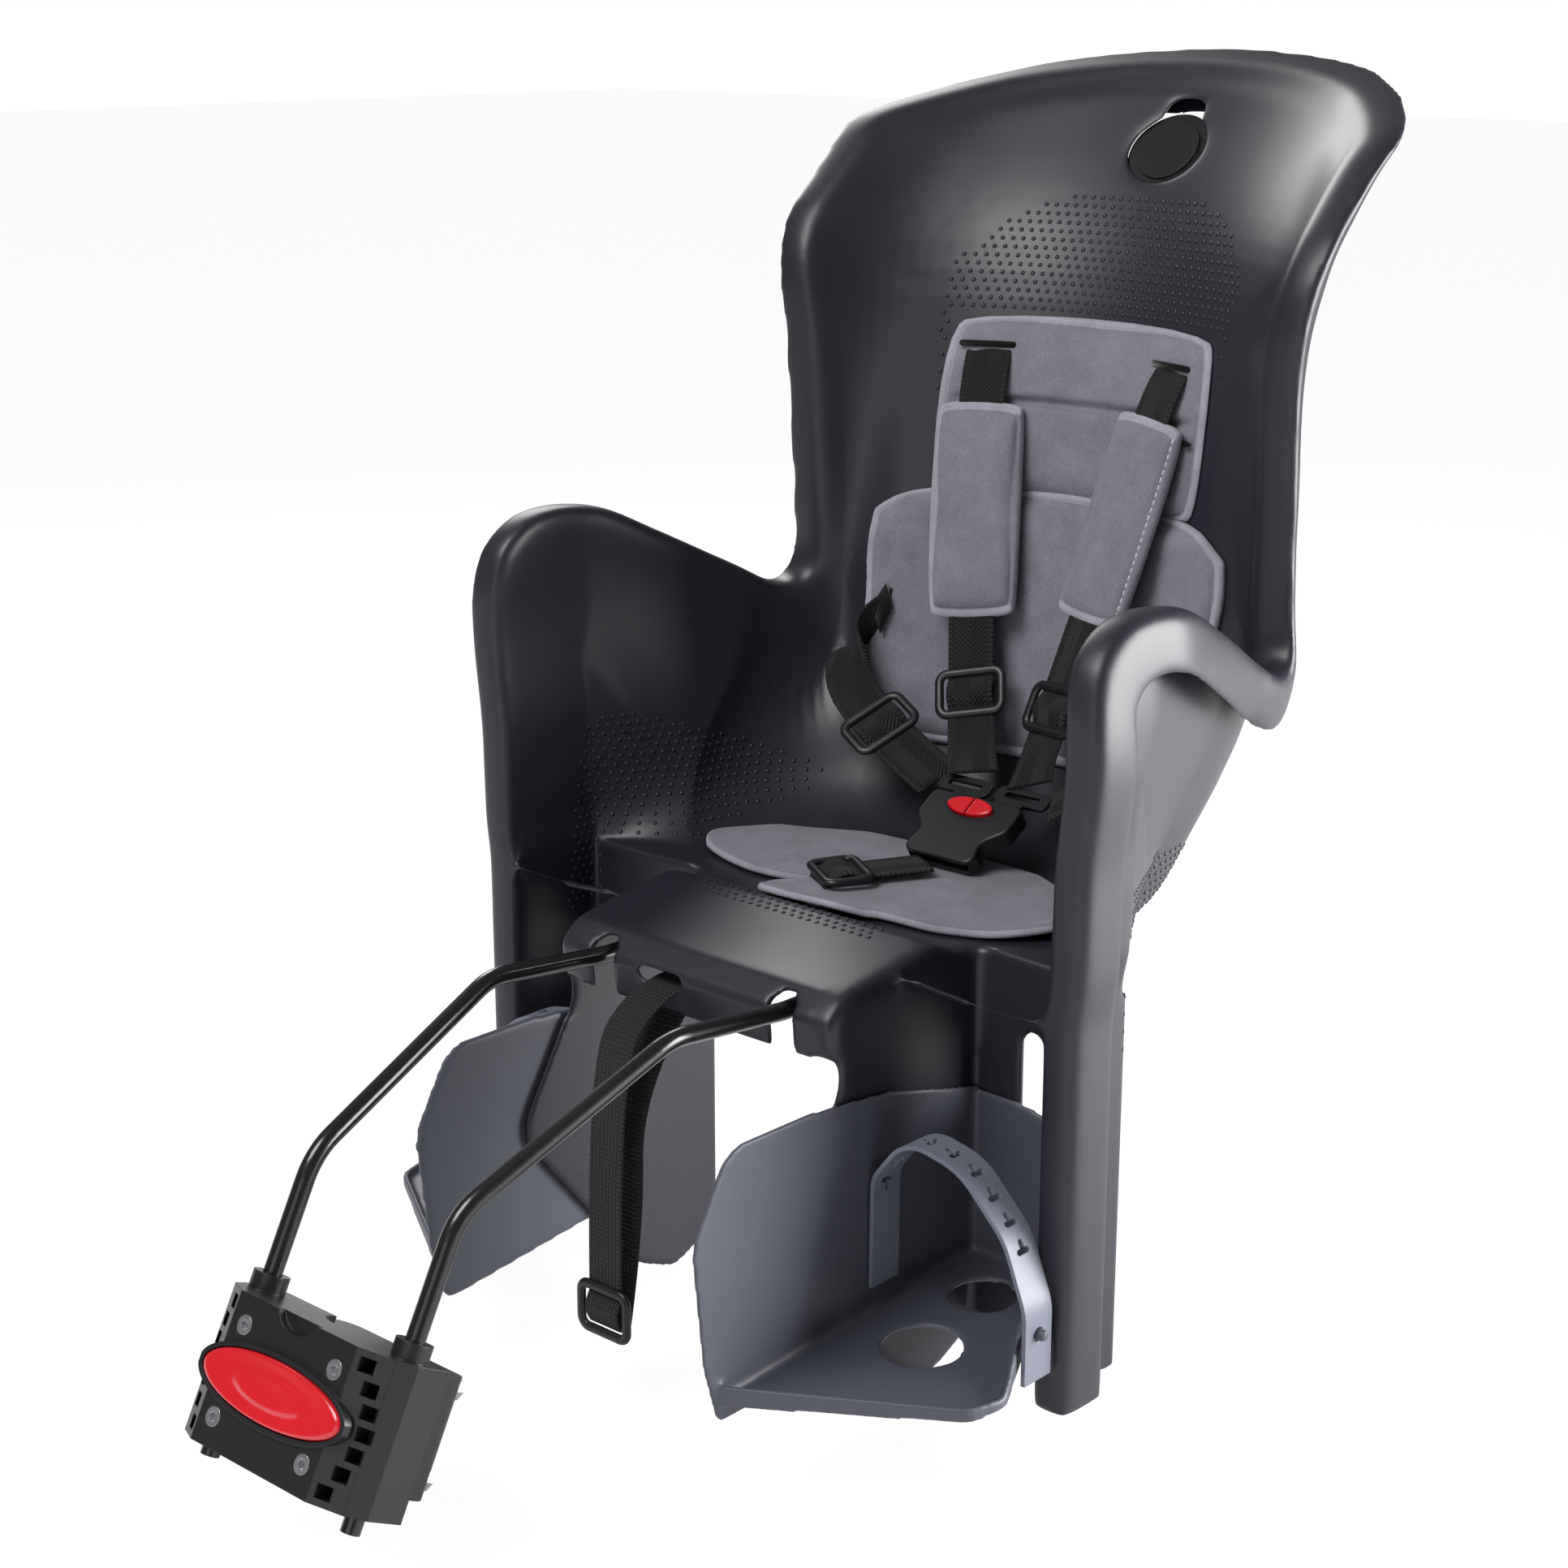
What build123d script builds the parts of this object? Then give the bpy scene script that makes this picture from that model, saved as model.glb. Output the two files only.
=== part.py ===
from build123d import *
import os
from math import cos, radians, sin, tan

# Rear child seat for a bicycle, on a bent rod carrier that clamps to the seat tube.
# Millimetres. Origin on the seat tube's axis at the middle of the clamp, +Z up, the seat faces -Y.

os.makedirs("parts", exist_ok=True)

# Clamp on the seat tube
tube_diameter = 34.0
tube_tilt = 28.0
liner_wall = 3.0
liner_gap = 4.0
fit = 0.05
block_height = 75.0
block_face = 45.0
block_half = ((66.0, 24.0), (61.0, 35.0), (44.0, 45.0))
jaw_split = 1.5
jaw_width = 92.0
jaw_height = 62.0
jaw_back = 34.0
collar_diameter = 19.0
collar_height = 9.0
bolt_diameter = 6.0
bolt_head = 10.0
bolt_head_height = 6.0
bolt_socket = 5.0
bolt_spread = 68.0
bolt_rise = 46.0
bolt_play = 0.3
nut_across = 10.0
nut_height = 5.0
pocket_size = 7.0
pocket_pitch = 10.2
pocket_count = 7
pocket_floor = 29.0
pocket_near = 46.0
pocket_bow = 12.0
notch_radius = 17.0
notch_depth = 4.0
jaw_round = 10.0
bolt_spare = 2.0

# Red release button in its oval bezel
button_length = 104.0
button_breadth = 31.0
button_proud = 3.5
button_round = 2.5
button_depth = 9.0
button_travel = 4.0
button_play = 0.4
bezel_wall = 3.0
bezel_proud = 2.0

# Bent carrier rod and its saddle under the pan
rod_diameter = 10.0
rod_gauge = 108.0
rod_forward = 20.0
rod_tail = 47.0
rod_knee = 109.0
rod_shoulder = (67.0, 165.0, 160.0)
rod_seat_gauge = 132.0
rod_enter_y = 250.0
rod_end_y = 480.0
rod_drop = 15.0
rod_bends = (38.0, 38.0, 60.0, 30.0, 30.0, 60.0, 38.0, 38.0)
saddle_width = 168.0
saddle_front = 40.0
saddle_back = 96.0
saddle_depth = 24.0
saddle_web = 6.0
saddle_bay = 104.0
saddle_gap = 0.2
screw_diameter = 5.0
screw_head = 9.0
screw_head_height = 4.0
screw_offset = 78.0
screw_pitch = 32.0

# Seat datum: pan surface on the centre line, below the harness buckle
seat_y = 348.0
seat_z = 166.0
wall = 4.0
rim_width = 24.0
skirt_depth = 36.0
front_half_width = 195.0
front_limit = -90.0
wing_front = -50.0

# Bucket stations above the pan: height, half width, where the side turns, backrest
stations = (
    (0.0, 140.0, 45.0, 148.0),
    (24.0, 160.0, 70.0, 188.0),
    (70.0, 166.0, 92.0, 213.0),
    (142.0, 168.0, 112.0, 229.0),
    (298.0, 171.0, 130.0, 257.0),
    (365.0, 181.0, 140.0, 288.0),
    (420.0, 198.0, 170.0, 330.0),
    (480.0, 206.0, 205.0, 366.0),
)

# Shell's edge in side view: wing, dip, back rim and head, each with its bend
edge_points = ((-50, -260), (-50, 226), (165, 120), (176, 352), (250, 425), (430, 486), (430, -260))
edge_bends = (0, 45, 35, 60, 40, 0, 0)

# Leg guards, nose and footrest slots
guard_inner = 98.0
guard_back = 18.0
guard_bottom = -219.0
fin_edge = (
    (20, -3), (6, -3), (-16, 5), (-87, -4), (-99, -14.5), (-96.5, -36), (-94, -52),
    (-136, -122), (-44, -232), (-14, -244), (20, -228),
)
fin_bends = (0, 0, 0, 0, 0, 0, 30, 22, 30, 20, 0)
slot_offset = 141.0
slot_width = 14.0
slot_top = -41.0
slot_bottom = -176.0
nose_line = ((34, -2), (6, -2), (-16, 7), (-88, -3), (-101, -14), (-98, -36))
nose_bends = (6, 10, 8, 6)
nose_wall = 3.6
rod_notch = 16.0
strap_hole_offset = -22.0
strap_hole = (32.0, 8.0)

# Strap slots and the keyhole in the backrest's top
slot_height = 294.0
slot_drop = 52.0
shoulder_gauge = 140.0
strap_slot = (38.0, 11.0)
hip_play = 0.2
crotch_at = (-20.0, 24.0)
crotch_turn = -31.0
keyhole_y = 322.0
keyhole_height = 402.0
keyhole_lean = 40.0
keyhole_round = 44.0
keyhole_slot = 18.0
keyhole_rise = 35.0
plug_round = 41.0
plug_flange = 54.0
plug_wall = 2.5
plug_gap = 0.1

# Pads
pad_thick = 8.0
pad_gap = 0.4
back_pad_half = ((97, 306), (99, 204), (128, 192), (124, 66), (92, 46))
seat_pad_half = ((0, 7), (86, 14), (125, 28), (134, 50), (116, 98), (66, 126), (0, 130))
pad_corner = 12.0

# Harness
webbing = 30.0
web_thick = 1.8
web_play = 0.4
sleeve_width = 58.0
sleeve_thick = 9.0
adjuster_length = 24.0
adjuster_width = 39.0
adjuster_thick = 6.0
adjuster_round = 4.0
adjuster_bar = 3.0
buckle_at = (19.0, 107.0, 27.0)
buckle_pitch = 33.0
buckle_half = ((28.0, -25.0), (21.0, -9.0), (33.0, 3.0), (33.0, 23.0))
buckle_bends = (6.0, 10.0, 8.0, 5.0)
buckle_thick = 11.0
buckle_round = 1.5
tongue_thick = 2.4
tongue_drop = 2.6
tongue_neck = 20.0
tongue_offset = 15.0
tongue_reach = 12.0
tongue_sink = 14.0
tongue_head = 38.0
tongue_head_offset = 21.0
tongue_bar = 24.0
tongue_round = 4.0
press_length = 32.0
press_breadth = 13.0
press_split = 1.0
press_depth = 2.8
press_proud = 2.6
press_round = 1.2
press_travel = 2.5
press_play = 0.4
press_along = 14.0
crotch_sink = 6.0
crotch_end = 7.0
crotch_mouth = (44.0, 6.0)
adjuster_at = 0.76
hip_adjuster_at = 0.35
crotch_adjuster_at = 0.22
crotch_rise = 11.8
crotch_bend = 5.0
strap_gap = 0.8
strap_end = 44.0
hip_end_gap = 1.5
hip_bend = 12.0
strap_turn = radians(14.5)
strap_bends = (4, 60, 20)
sleeve_span = (0.4, 0.55)
shoulder_right = ((75.5, 262, 290.8), (66, 228, 290.8), (48, 208, 186), (30, 164, 60))
shoulder_left = ((-75, 262, 292.6), (-66, 228, 292.6), (-57, 208, 186), (-31, 178, 56))
hip_line = ((128, 226, 120), (103, 156, 82))

# Footrests and their straps
foot_play = 0.4
foot_wall = 3.0
foot_plan = (
    (102.4, 17.6), (front_half_width - 5, 17.6), (front_half_width - 4, -46), (front_half_width + 27, -104),
    (front_half_width + 21, -126), (106, -192), (102.4, -192),
)
foot_bends = (0, 4, 8, 14, 16, 3, 0)
foot_floor = -177.0
foot_slope = 0.061
foot_front = -215.0
lip_top = ((17.6, -150), (-46, -158), (-104, -180), (-215, -181))
foot_inner_edge = (
    (17.6, -81), (-55, -62), (-120, -55), (-182, -55), (-208, -100), (-200, -170), (-190, -204),
    (17.6, -181),
)
foot_inner_bends = (0, 60, 60, 24, 30, 30, 8, 0)
foot_back_edge = (
    (102.4, -179), (102.4, -81), (140, -83), (front_half_width - 29, -90), (front_half_width - 5, -130),
    (front_half_width - 5, -179),
)
foot_holes = ((151.0, -84.0, 43.0), (143.0, -22.0, 36.0))
hook_width = 13.4
hook_low = -150.0
hook_high = -110.0
hook_head = 24.0
foot_strap_y = 64.0
foot_strap_width = 22.0
foot_strap_thick = 2.5
foot_strap_line = (
    (107.4, -168), (108, -105), (130, -77), (front_half_width - 29, -84), (front_half_width + 1, -114),
    (front_half_width + 15, -150), (front_half_width + 15, -190),
)
foot_strap_bends = (18, 24, 40, 40, 30)
foot_strap_holes = 9
foot_hole = 3.2
foot_holes_from = 0.24
foot_holes_step = 0.06
foot_back_bends = (0, 0, 30, 16, 8, 0)
stud_from = front_half_width + 3.0
stud_length = 18.0
stud_height = -164.0
stud_diameter = 7.0

# Safety strap round the bicycle's frame
safety_width = 25.0
safety_thick = 1.6
safety_offset = -21.0
cord_ease = 0.45
slide_height = -197.0
slide_width = 34.0
slide_length = 22.0
slide_thick = 7.0
safety_line = ((-78, -20.6), (-116, -20.6), (-147, -60), (-147, -206))
safety_return = ((-140, -205), (-129, -150), (-129, -70), (-88, -30))

tilt = radians(tube_tilt)
tube_axis = Vector(0, sin(tilt), cos(tilt))
face_normal = Vector(0, -cos(tilt), sin(tilt))
across = Plane(origin=(0, 0, 0), x_dir=(1, 0, 0), z_dir=tube_axis)
face = Plane(origin=face_normal * block_face, x_dir=(1, 0, 0), z_dir=face_normal)
seat = Plane(origin=(0, seat_y, seat_z), x_dir=(1, 0, 0), z_dir=(0, 0, 1))
side = Plane(origin=(0, seat_y, seat_z), x_dir=(0, 1, 0), z_dir=(1, 0, 0))
front = Plane(origin=(0, seat_y, seat_z), x_dir=(1, 0, 0), z_dir=(0, -1, 0))
lean = radians(keyhole_lean)
head = Plane(
    origin=(0, seat_y + keyhole_y, seat_z + keyhole_height),
    x_dir=(1, 0, 0),
    z_dir=(0, -cos(lean), sin(lean)),
)


def on_block(x, rise, ahead):
    """A point of the clamp: across, up the tube and ahead of it."""
    return Vector(x, 0, 0) + tube_axis * rise + face_normal * ahead


def on_seat(x, y, height):
    """A point of the seat, from the datum on the pan."""
    return Vector(x, seat_y + y, seat_z + height)


def save(part, name):
    """Labels a finished piece and writes it."""
    part.label = name
    export_step(part, f"parts/{name}.step")


def bucket(grow, floor):
    """The bucket's inner form, grown outwards, as one closed loft from the pan to the head."""
    flank = front_half_width + grow
    with BuildPart() as form:
        for number, (height, half, turn, back) in enumerate(stations):
            level = height if number else floor
            with BuildSketch(seat.offset(level)):
                with BuildLine():
                    Polyline((flank, front_limit), (flank, guard_back), (half + grow, turn))
                    EllipticalCenterArc((0, turn), half + grow, back + grow - turn, arc_size=180)
                    Polyline((-half - grow, turn), (-flank, guard_back), (-flank, front_limit))
                    Line((-flank, front_limit), (flank, front_limit))
                make_face()
        loft()
    return form.part


def edge_slab(inset):
    """A slab across the seat: the whole side view, or only a band along its edge."""
    with BuildPart() as slab:
        with BuildSketch(side):
            with BuildLine():
                FilletPolyline(*edge_points, radius=edge_bends, close=True)
            make_face()
            if inset:
                offset(amount=-inset, mode=Mode.SUBTRACT)
        extrude(amount=2 * front_half_width, both=True)
    return slab.part


def strap_plane(points, breadth_dir):
    """The plane in which a strap bends, square to its breadth."""
    along = (points[-1] - points[0]).normalized()
    level = (breadth_dir - along * along.dot(breadth_dir)).normalized()
    return Plane(origin=points[0], x_dir=along, z_dir=level)


def ribbon(flat, points, breadth, thick, bend):
    """A flat band bent along points in a plane, its breadth square to that plane."""
    route = [(place.X, place.Y) for place in map(flat.to_local_coords, points)]
    with BuildPart() as band:
        with BuildSketch(flat):
            with BuildLine():
                if len(route) > 2:
                    FilletPolyline(*route, radius=bend)
                else:
                    Line(*route)
            trace(line_width=thick)
        extrude(amount=breadth / 2, both=True)
    return band.part


def slide(flat, start, end, at):
    """A two-bar slide on a straight run of webbing, with the webbing's slot through it."""
    near, far = (Vector(place.X, place.Y, 0) for place in map(flat.to_local_coords, (start, end)))
    along = (far - near).normalized()
    middle = near + (far - near) * at
    place = Plane(
        origin=flat.from_local_coords(middle),
        x_dir=flat.z_dir,
        z_dir=flat.from_local_coords(middle + Vector(-along.Y, along.X, 0)) - flat.from_local_coords(middle),
    )
    with BuildPart() as frame:
        with BuildSketch(place.offset(-adjuster_thick / 2)):
            RectangleRounded(adjuster_width, adjuster_length, adjuster_round)
        extrude(amount=adjuster_thick)
        with BuildSketch(place.offset(-web_thick / 2 - web_play)):
            Rectangle(webbing + 2 * web_play, 2 * adjuster_length)
        extrude(amount=web_thick + 2 * web_play, mode=Mode.SUBTRACT)
        with BuildSketch(place):
            with GridLocations(0, adjuster_length / 2 - adjuster_bar / 2, 1, 2):
                Rectangle(webbing - adjuster_bar, adjuster_length / 2 - 2 * adjuster_bar)
        extrude(amount=adjuster_thick, mode=Mode.SUBTRACT)
    return frame.part


# Harness buckle, pitched as it lies on the pad
pitch = radians(buckle_pitch)
buckle_across = Vector(1, 0, 0)
buckle_along = Vector(0, cos(pitch), sin(pitch))
buckle = Plane(origin=on_seat(*buckle_at), x_dir=buckle_across, z_dir=buckle_across.cross(buckle_along))
buckle_front = -buckle_half[0][1]
buckle_rear = buckle_half[-1][1]
strap_rise = tongue_thick / 2 + web_thick / 2 + strap_gap - tongue_drop
hip_end_offset = tongue_head_offset + tongue_head / 2 + hip_end_gap


def on_buckle(x, along, rise):
    """A point of the buckle, from its middle."""
    return buckle.from_local_coords(Vector(x, along, rise))


# Webbing: each strap from behind the shell to its end at the buckle
right_slant = Vector(cos(strap_turn), -sin(strap_turn), 0)
left_slant = Vector(cos(strap_turn), sin(strap_turn), 0)
upright = Vector(0, 0, 1)
strap_right = [on_seat(*place) for place in shoulder_right]
strap_right.append(on_buckle(tongue_head_offset, strap_end, strap_rise))
strap_left = [on_seat(*place) for place in shoulder_left]
strap_left.append(on_buckle(-tongue_head_offset, strap_end, strap_rise))
hip_right = [on_seat(*place) for place in hip_line]
hip_right.append(on_buckle(hip_end_offset, buckle_rear + tongue_reach, -tongue_drop))
hip_left = [on_seat(-x, y, rise) for x, y, rise in hip_line]
hip_left.append(on_buckle(-hip_end_offset, buckle_rear + tongue_reach, -tongue_drop))
crotch_corner = on_seat(*crotch_at, crotch_rise)
buckle_mouth = on_buckle(0, -buckle_front, 0)
crotch_line = [
    on_seat(*crotch_at, -2 * wall),
    crotch_corner,
    buckle_mouth + (crotch_corner - buckle_mouth).normalized() * crotch_end,
]
plane_right = strap_plane(strap_right, right_slant)
plane_left = strap_plane(strap_left, left_slant)
plane_hip_right = strap_plane(hip_right, upright)
plane_hip_left = strap_plane(hip_left, upright)
plane_crotch = strap_plane(crotch_line, (crotch_line[-1] - crotch_line[0]).cross(upright))
hip_cuts = [
    ribbon(flat, line, webbing + 2 * hip_play, web_thick + 2 * hip_play, hip_bend)
    for flat, line in ((plane_hip_right, hip_right), (plane_hip_left, hip_left))
]


cavity = bucket(0, 0)
skin = bucket(wall, -wall)
rim_inner = bucket(rim_width - wall, -wall)
rim_outer = bucket(rim_width, -wall)

# Rolled rim: a crest across the wall and a skirt that hangs outside it
with BuildPart() as crest:
    add(rim_outer)
    add(cavity, mode=Mode.SUBTRACT)
    add(edge_slab(wall), mode=Mode.INTERSECT)

with BuildPart() as skirt:
    add(rim_outer)
    add(rim_inner, mode=Mode.SUBTRACT)
    add(edge_slab(skirt_depth), mode=Mode.INTERSECT)

with BuildPart() as bowl:
    add(skin)
    add(cavity, mode=Mode.SUBTRACT)
    add(edge_slab(0), mode=Mode.INTERSECT)

with BuildPart() as guard:
    # Plan of one leg guard: back panel, outer wall, rim and skirt
    with BuildSketch(seat.offset(guard_bottom)):
        outer = front_half_width + rim_width
        with Locations((guard_inner, guard_back)):
            Rectangle(front_half_width + wall - guard_inner, wall, align=(Align.MIN, Align.MIN))
        with Locations((front_half_width, wing_front)):
            Rectangle(wall, guard_back + wall - wing_front, align=(Align.MIN, Align.MIN))
            Rectangle(rim_width, wall, align=(Align.MIN, Align.MIN))
        with Locations((outer - wall, wing_front)):
            Rectangle(wall, skirt_depth, align=(Align.MIN, Align.MIN))
    extrude(amount=-guard_bottom - wall)
    with BuildSketch(side.offset(guard_inner)):
        with BuildLine():
            FilletPolyline(*fin_edge, radius=fin_bends, close=True)
        make_face()
    extrude(amount=wall)
    # Slot in which the footrest slides
    with BuildSketch(front.offset(-guard_back - 2 * wall)):
        with Locations((slot_offset, (slot_top + slot_bottom) / 2)):
            SlotOverall(slot_top - slot_bottom, slot_width, rotation=90)
    extrude(amount=3 * wall, mode=Mode.SUBTRACT)

with BuildPart() as nose:
    with BuildSketch(side):
        with BuildLine():
            FilletPolyline(*nose_line, radius=nose_bends)
        trace(line_width=nose_wall)
    extrude(amount=guard_inner + wall, both=True)
    # Notches for the rod and the hole of the safety strap
    nose_tip = -nose_line[-2][0]
    with BuildSketch(front.offset(nose_tip - 3 * nose_wall)):
        for way in (-1, 1):
            with Locations((way * rod_seat_gauge / 2, nose_line[-1][1])):
                SlotOverall(2 * (rod_drop + rod_notch), rod_notch, rotation=90)
        with Locations((strap_hole_offset, nose_line[-2][1] - nose_wall)):
            SlotOverall(*strap_hole)
    extrude(amount=6 * nose_wall, mode=Mode.SUBTRACT)

with BuildPart() as seat_shell:
    add(bowl.part)
    # The pan ends at the leg guards
    with BuildSketch(seat.offset(-2 * wall)):
        with Locations((0, guard_back)):
            Rectangle(2 * front_half_width, guard_back - front_limit, align=(Align.CENTER, Align.MAX))
    extrude(amount=3 * wall, mode=Mode.SUBTRACT)
    add(crest.part)
    add(skirt.part)
    add(guard.part)
    mirror(guard.part, about=Plane.YZ)
    add(nose.part)
    # Strap slots
    with BuildSketch(front.offset(-stations[4][3] - 5 * wall)):
        for way in (-1, 1):
            with Locations((way * shoulder_gauge / 2, slot_height - slot_drop / 2)):
                with GridLocations(0, slot_drop, 1, 2):
                    SlotOverall(*strap_slot)
    extrude(amount=30 * wall, mode=Mode.SUBTRACT)
    add(hip_cuts, mode=Mode.SUBTRACT)
    with BuildSketch(seat.offset(-2 * wall)):
        with Locations(crotch_at):
            SlotOverall(*strap_slot, rotation=crotch_turn)
        for way in (-1, 1):
            with Locations((way * screw_offset, (saddle_front + saddle_back) / 2)):
                with GridLocations(0, screw_pitch, 1, 2):
                    Circle(screw_diameter / 2 + bolt_play)
    extrude(amount=3 * wall, mode=Mode.SUBTRACT)
    # Keyhole in the head
    with BuildSketch(head):
        Circle(keyhole_round / 2)
        with Locations((0, keyhole_rise / 2)):
            Rectangle(keyhole_slot, keyhole_rise)
    extrude(amount=keyhole_rise, both=True, mode=Mode.SUBTRACT)
save(seat_shell.part, "seat_shell")

# Plug that closes the keyhole's round end from behind
with BuildPart() as plug_boss:
    add(bucket(wall + plug_wall, -2 * wall))
    add(bucket(wall / 2, -wall / 2), mode=Mode.SUBTRACT)
    with BuildSketch(head):
        Circle(plug_round / 2)
    extrude(amount=keyhole_rise, both=True, mode=Mode.INTERSECT)

with BuildPart() as keyhole_plug:
    add(bucket(wall + plug_gap + plug_wall, -2 * wall))
    add(bucket(wall + plug_gap, -wall), mode=Mode.SUBTRACT)
    with BuildSketch(head):
        Circle(plug_flange / 2)
    extrude(amount=keyhole_rise, both=True, mode=Mode.INTERSECT)
    add(plug_boss.part)
save(keyhole_plug.part, "keyhole_plug")

with BuildPart() as back_pad:
    add(bucket(-pad_gap, pad_gap))
    add(bucket(-pad_gap - pad_thick, pad_gap + pad_thick), mode=Mode.SUBTRACT)
    with BuildSketch(front):
        with BuildLine():
            mirrored = tuple((-across_x, rise) for across_x, rise in reversed(back_pad_half))
            FilletPolyline(*back_pad_half, *mirrored, radius=pad_corner, close=True)
        make_face()
        for way in (-1, 1):
            with Locations((way * shoulder_gauge / 2, slot_height - slot_drop / 2)):
                with GridLocations(0, slot_drop, 1, 2):
                    SlotOverall(*strap_slot, mode=Mode.SUBTRACT)
    extrude(amount=-2 * front_half_width, mode=Mode.INTERSECT)
    add(hip_cuts, mode=Mode.SUBTRACT)
save(back_pad.part, "back_pad")

with BuildPart() as seat_pad:
    with BuildSketch(seat.offset(pad_gap)):
        with BuildLine():
            mirrored = tuple((-across_x, depth) for across_x, depth in reversed(seat_pad_half[1:-1]))
            FilletPolyline(*seat_pad_half, *mirrored, radius=pad_corner, close=True)
        make_face()
        with Locations(crotch_at):
            SlotOverall(*strap_slot, rotation=crotch_turn, mode=Mode.SUBTRACT)
    extrude(amount=pad_thick)
save(seat_pad.part, "seat_pad")

with BuildPart() as buckle_body:
    with BuildSketch(buckle.offset(-buckle_thick / 2)):
        with BuildLine():
            mirrored = tuple((-x, along) for x, along in reversed(buckle_half))
            FilletPolyline(*buckle_half, *mirrored, radius=buckle_bends + buckle_bends[::-1], close=True)
        make_face()
    extrude(amount=buckle_thick)
    fillet(buckle_body.faces().sort_by(Axis(buckle.origin, buckle.z_dir))[-1].edges(), buckle_round)
    # Mouths for the two tongues
    rear = Plane(origin=on_buckle(0, buckle_rear, -tongue_drop), x_dir=buckle_across, z_dir=-buckle_along)
    with BuildSketch(rear):
        with GridLocations(2 * tongue_offset, 0, 2, 1):
            Rectangle(tongue_neck + 2 * press_play, tongue_thick + 2 * press_play)
    extrude(amount=tongue_sink + press_play, mode=Mode.SUBTRACT)
    # Well of the two press buttons
    with BuildSketch(buckle.offset(buckle_thick / 2)):
        with Locations((0, press_along)):
            Ellipse(press_length / 2 + press_play, press_breadth / 2 + press_play)
    extrude(amount=-press_depth - press_travel - press_play, mode=Mode.SUBTRACT)
    # Mouth of the crotch strap
    with BuildSketch(Plane(origin=buckle_mouth, x_dir=buckle_across, z_dir=buckle_along)):
        Rectangle(*crotch_mouth)
    extrude(amount=crotch_sink, mode=Mode.SUBTRACT)
save(buckle_body.part, "buckle_body")

with BuildPart() as buckle_tongue_right:
    with BuildSketch(buckle.offset(-tongue_drop - tongue_thick / 2)):
        with Locations((tongue_offset, buckle_rear + (tongue_reach - tongue_sink) / 2)):
            Rectangle(tongue_neck, tongue_reach + tongue_sink)
        with Locations((tongue_head_offset, buckle_rear + tongue_reach)):
            RectangleRounded(tongue_head, tongue_reach, tongue_round)
            Rectangle(tongue_bar, tongue_round, mode=Mode.SUBTRACT)
    extrude(amount=tongue_thick)
save(buckle_tongue_right.part, "buckle_tongue_right")

buckle_middle = Plane(origin=on_seat(*buckle_at), z_dir=buckle_across)
with BuildPart() as buckle_tongue_left:
    mirror(buckle_tongue_right.part, about=buckle_middle)
save(buckle_tongue_left.part, "buckle_tongue_left")

# Each press button is one half of an oval
with BuildPart() as buckle_button_right:
    with BuildSketch(buckle.offset(buckle_thick / 2 - press_depth)):
        with Locations((0, press_along)):
            Ellipse(press_length / 2, press_breadth / 2)
        with Locations((press_split / 2, press_along)):
            Rectangle(press_length, press_breadth, align=(Align.MAX, Align.CENTER), mode=Mode.SUBTRACT)
    extrude(amount=press_depth + press_proud)
    fillet(buckle_button_right.faces().sort_by(Axis(buckle.origin, buckle.z_dir))[-1].edges(), press_round)
save(buckle_button_right.part, "buckle_button_right")

with BuildPart() as buckle_button_left:
    mirror(buckle_button_right.part, about=buckle_middle)
save(buckle_button_left.part, "buckle_button_left")

with BuildPart() as shoulder_strap_right:
    add(ribbon(plane_right, strap_right, webbing, web_thick, strap_bends))
save(shoulder_strap_right.part, "shoulder_strap_right")

with BuildPart() as shoulder_strap_left:
    add(ribbon(plane_left, strap_left, webbing, web_thick, strap_bends))
save(shoulder_strap_left.part, "shoulder_strap_left")

with BuildPart() as hip_strap_right:
    add(ribbon(plane_hip_right, hip_right, webbing, web_thick, hip_bend))
save(hip_strap_right.part, "hip_strap_right")

with BuildPart() as hip_strap_left:
    add(ribbon(plane_hip_left, hip_left, webbing, web_thick, hip_bend))
save(hip_strap_left.part, "hip_strap_left")

with BuildPart() as crotch_strap:
    add(ribbon(plane_crotch, crotch_line, webbing, web_thick, crotch_bend))
save(crotch_strap.part, "crotch_strap")


def sleeve(flat, strap):
    """A soft sleeve over the bend of a shoulder strap."""
    upper, middle, lower = strap[1:4]
    span = [upper + (middle - upper) * sleeve_span[0], middle, middle + (lower - middle) * sleeve_span[1]]
    with BuildPart() as pad:
        add(ribbon(flat, span, sleeve_width, sleeve_thick, strap_bends[1]))
        add(
            ribbon(flat, strap, webbing + 2 * web_play, web_thick + 2 * web_play, strap_bends),
            mode=Mode.SUBTRACT,
        )
    return pad.part


with BuildPart() as shoulder_pad_right:
    add(sleeve(plane_right, strap_right))
save(shoulder_pad_right.part, "shoulder_pad_right")

with BuildPart() as shoulder_pad_left:
    add(sleeve(plane_left, strap_left))
save(shoulder_pad_left.part, "shoulder_pad_left")

with BuildPart() as shoulder_adjuster_right:
    add(slide(plane_right, strap_right[2], strap_right[3], adjuster_at))
save(shoulder_adjuster_right.part, "shoulder_adjuster_right")

with BuildPart() as shoulder_adjuster_left:
    add(slide(plane_left, strap_left[2], strap_left[3], adjuster_at))
save(shoulder_adjuster_left.part, "shoulder_adjuster_left")

with BuildPart() as hip_adjuster_right:
    add(slide(plane_hip_right, hip_right[1], hip_right[2], hip_adjuster_at))
save(hip_adjuster_right.part, "hip_adjuster_right")

with BuildPart() as hip_adjuster_left:
    add(slide(plane_hip_left, hip_left[1], hip_left[2], hip_adjuster_at))
save(hip_adjuster_left.part, "hip_adjuster_left")

with BuildPart() as crotch_adjuster:
    add(slide(plane_crotch, crotch_line[1], crotch_line[2], crotch_adjuster_at))
save(crotch_adjuster.part, "crotch_adjuster")

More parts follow.
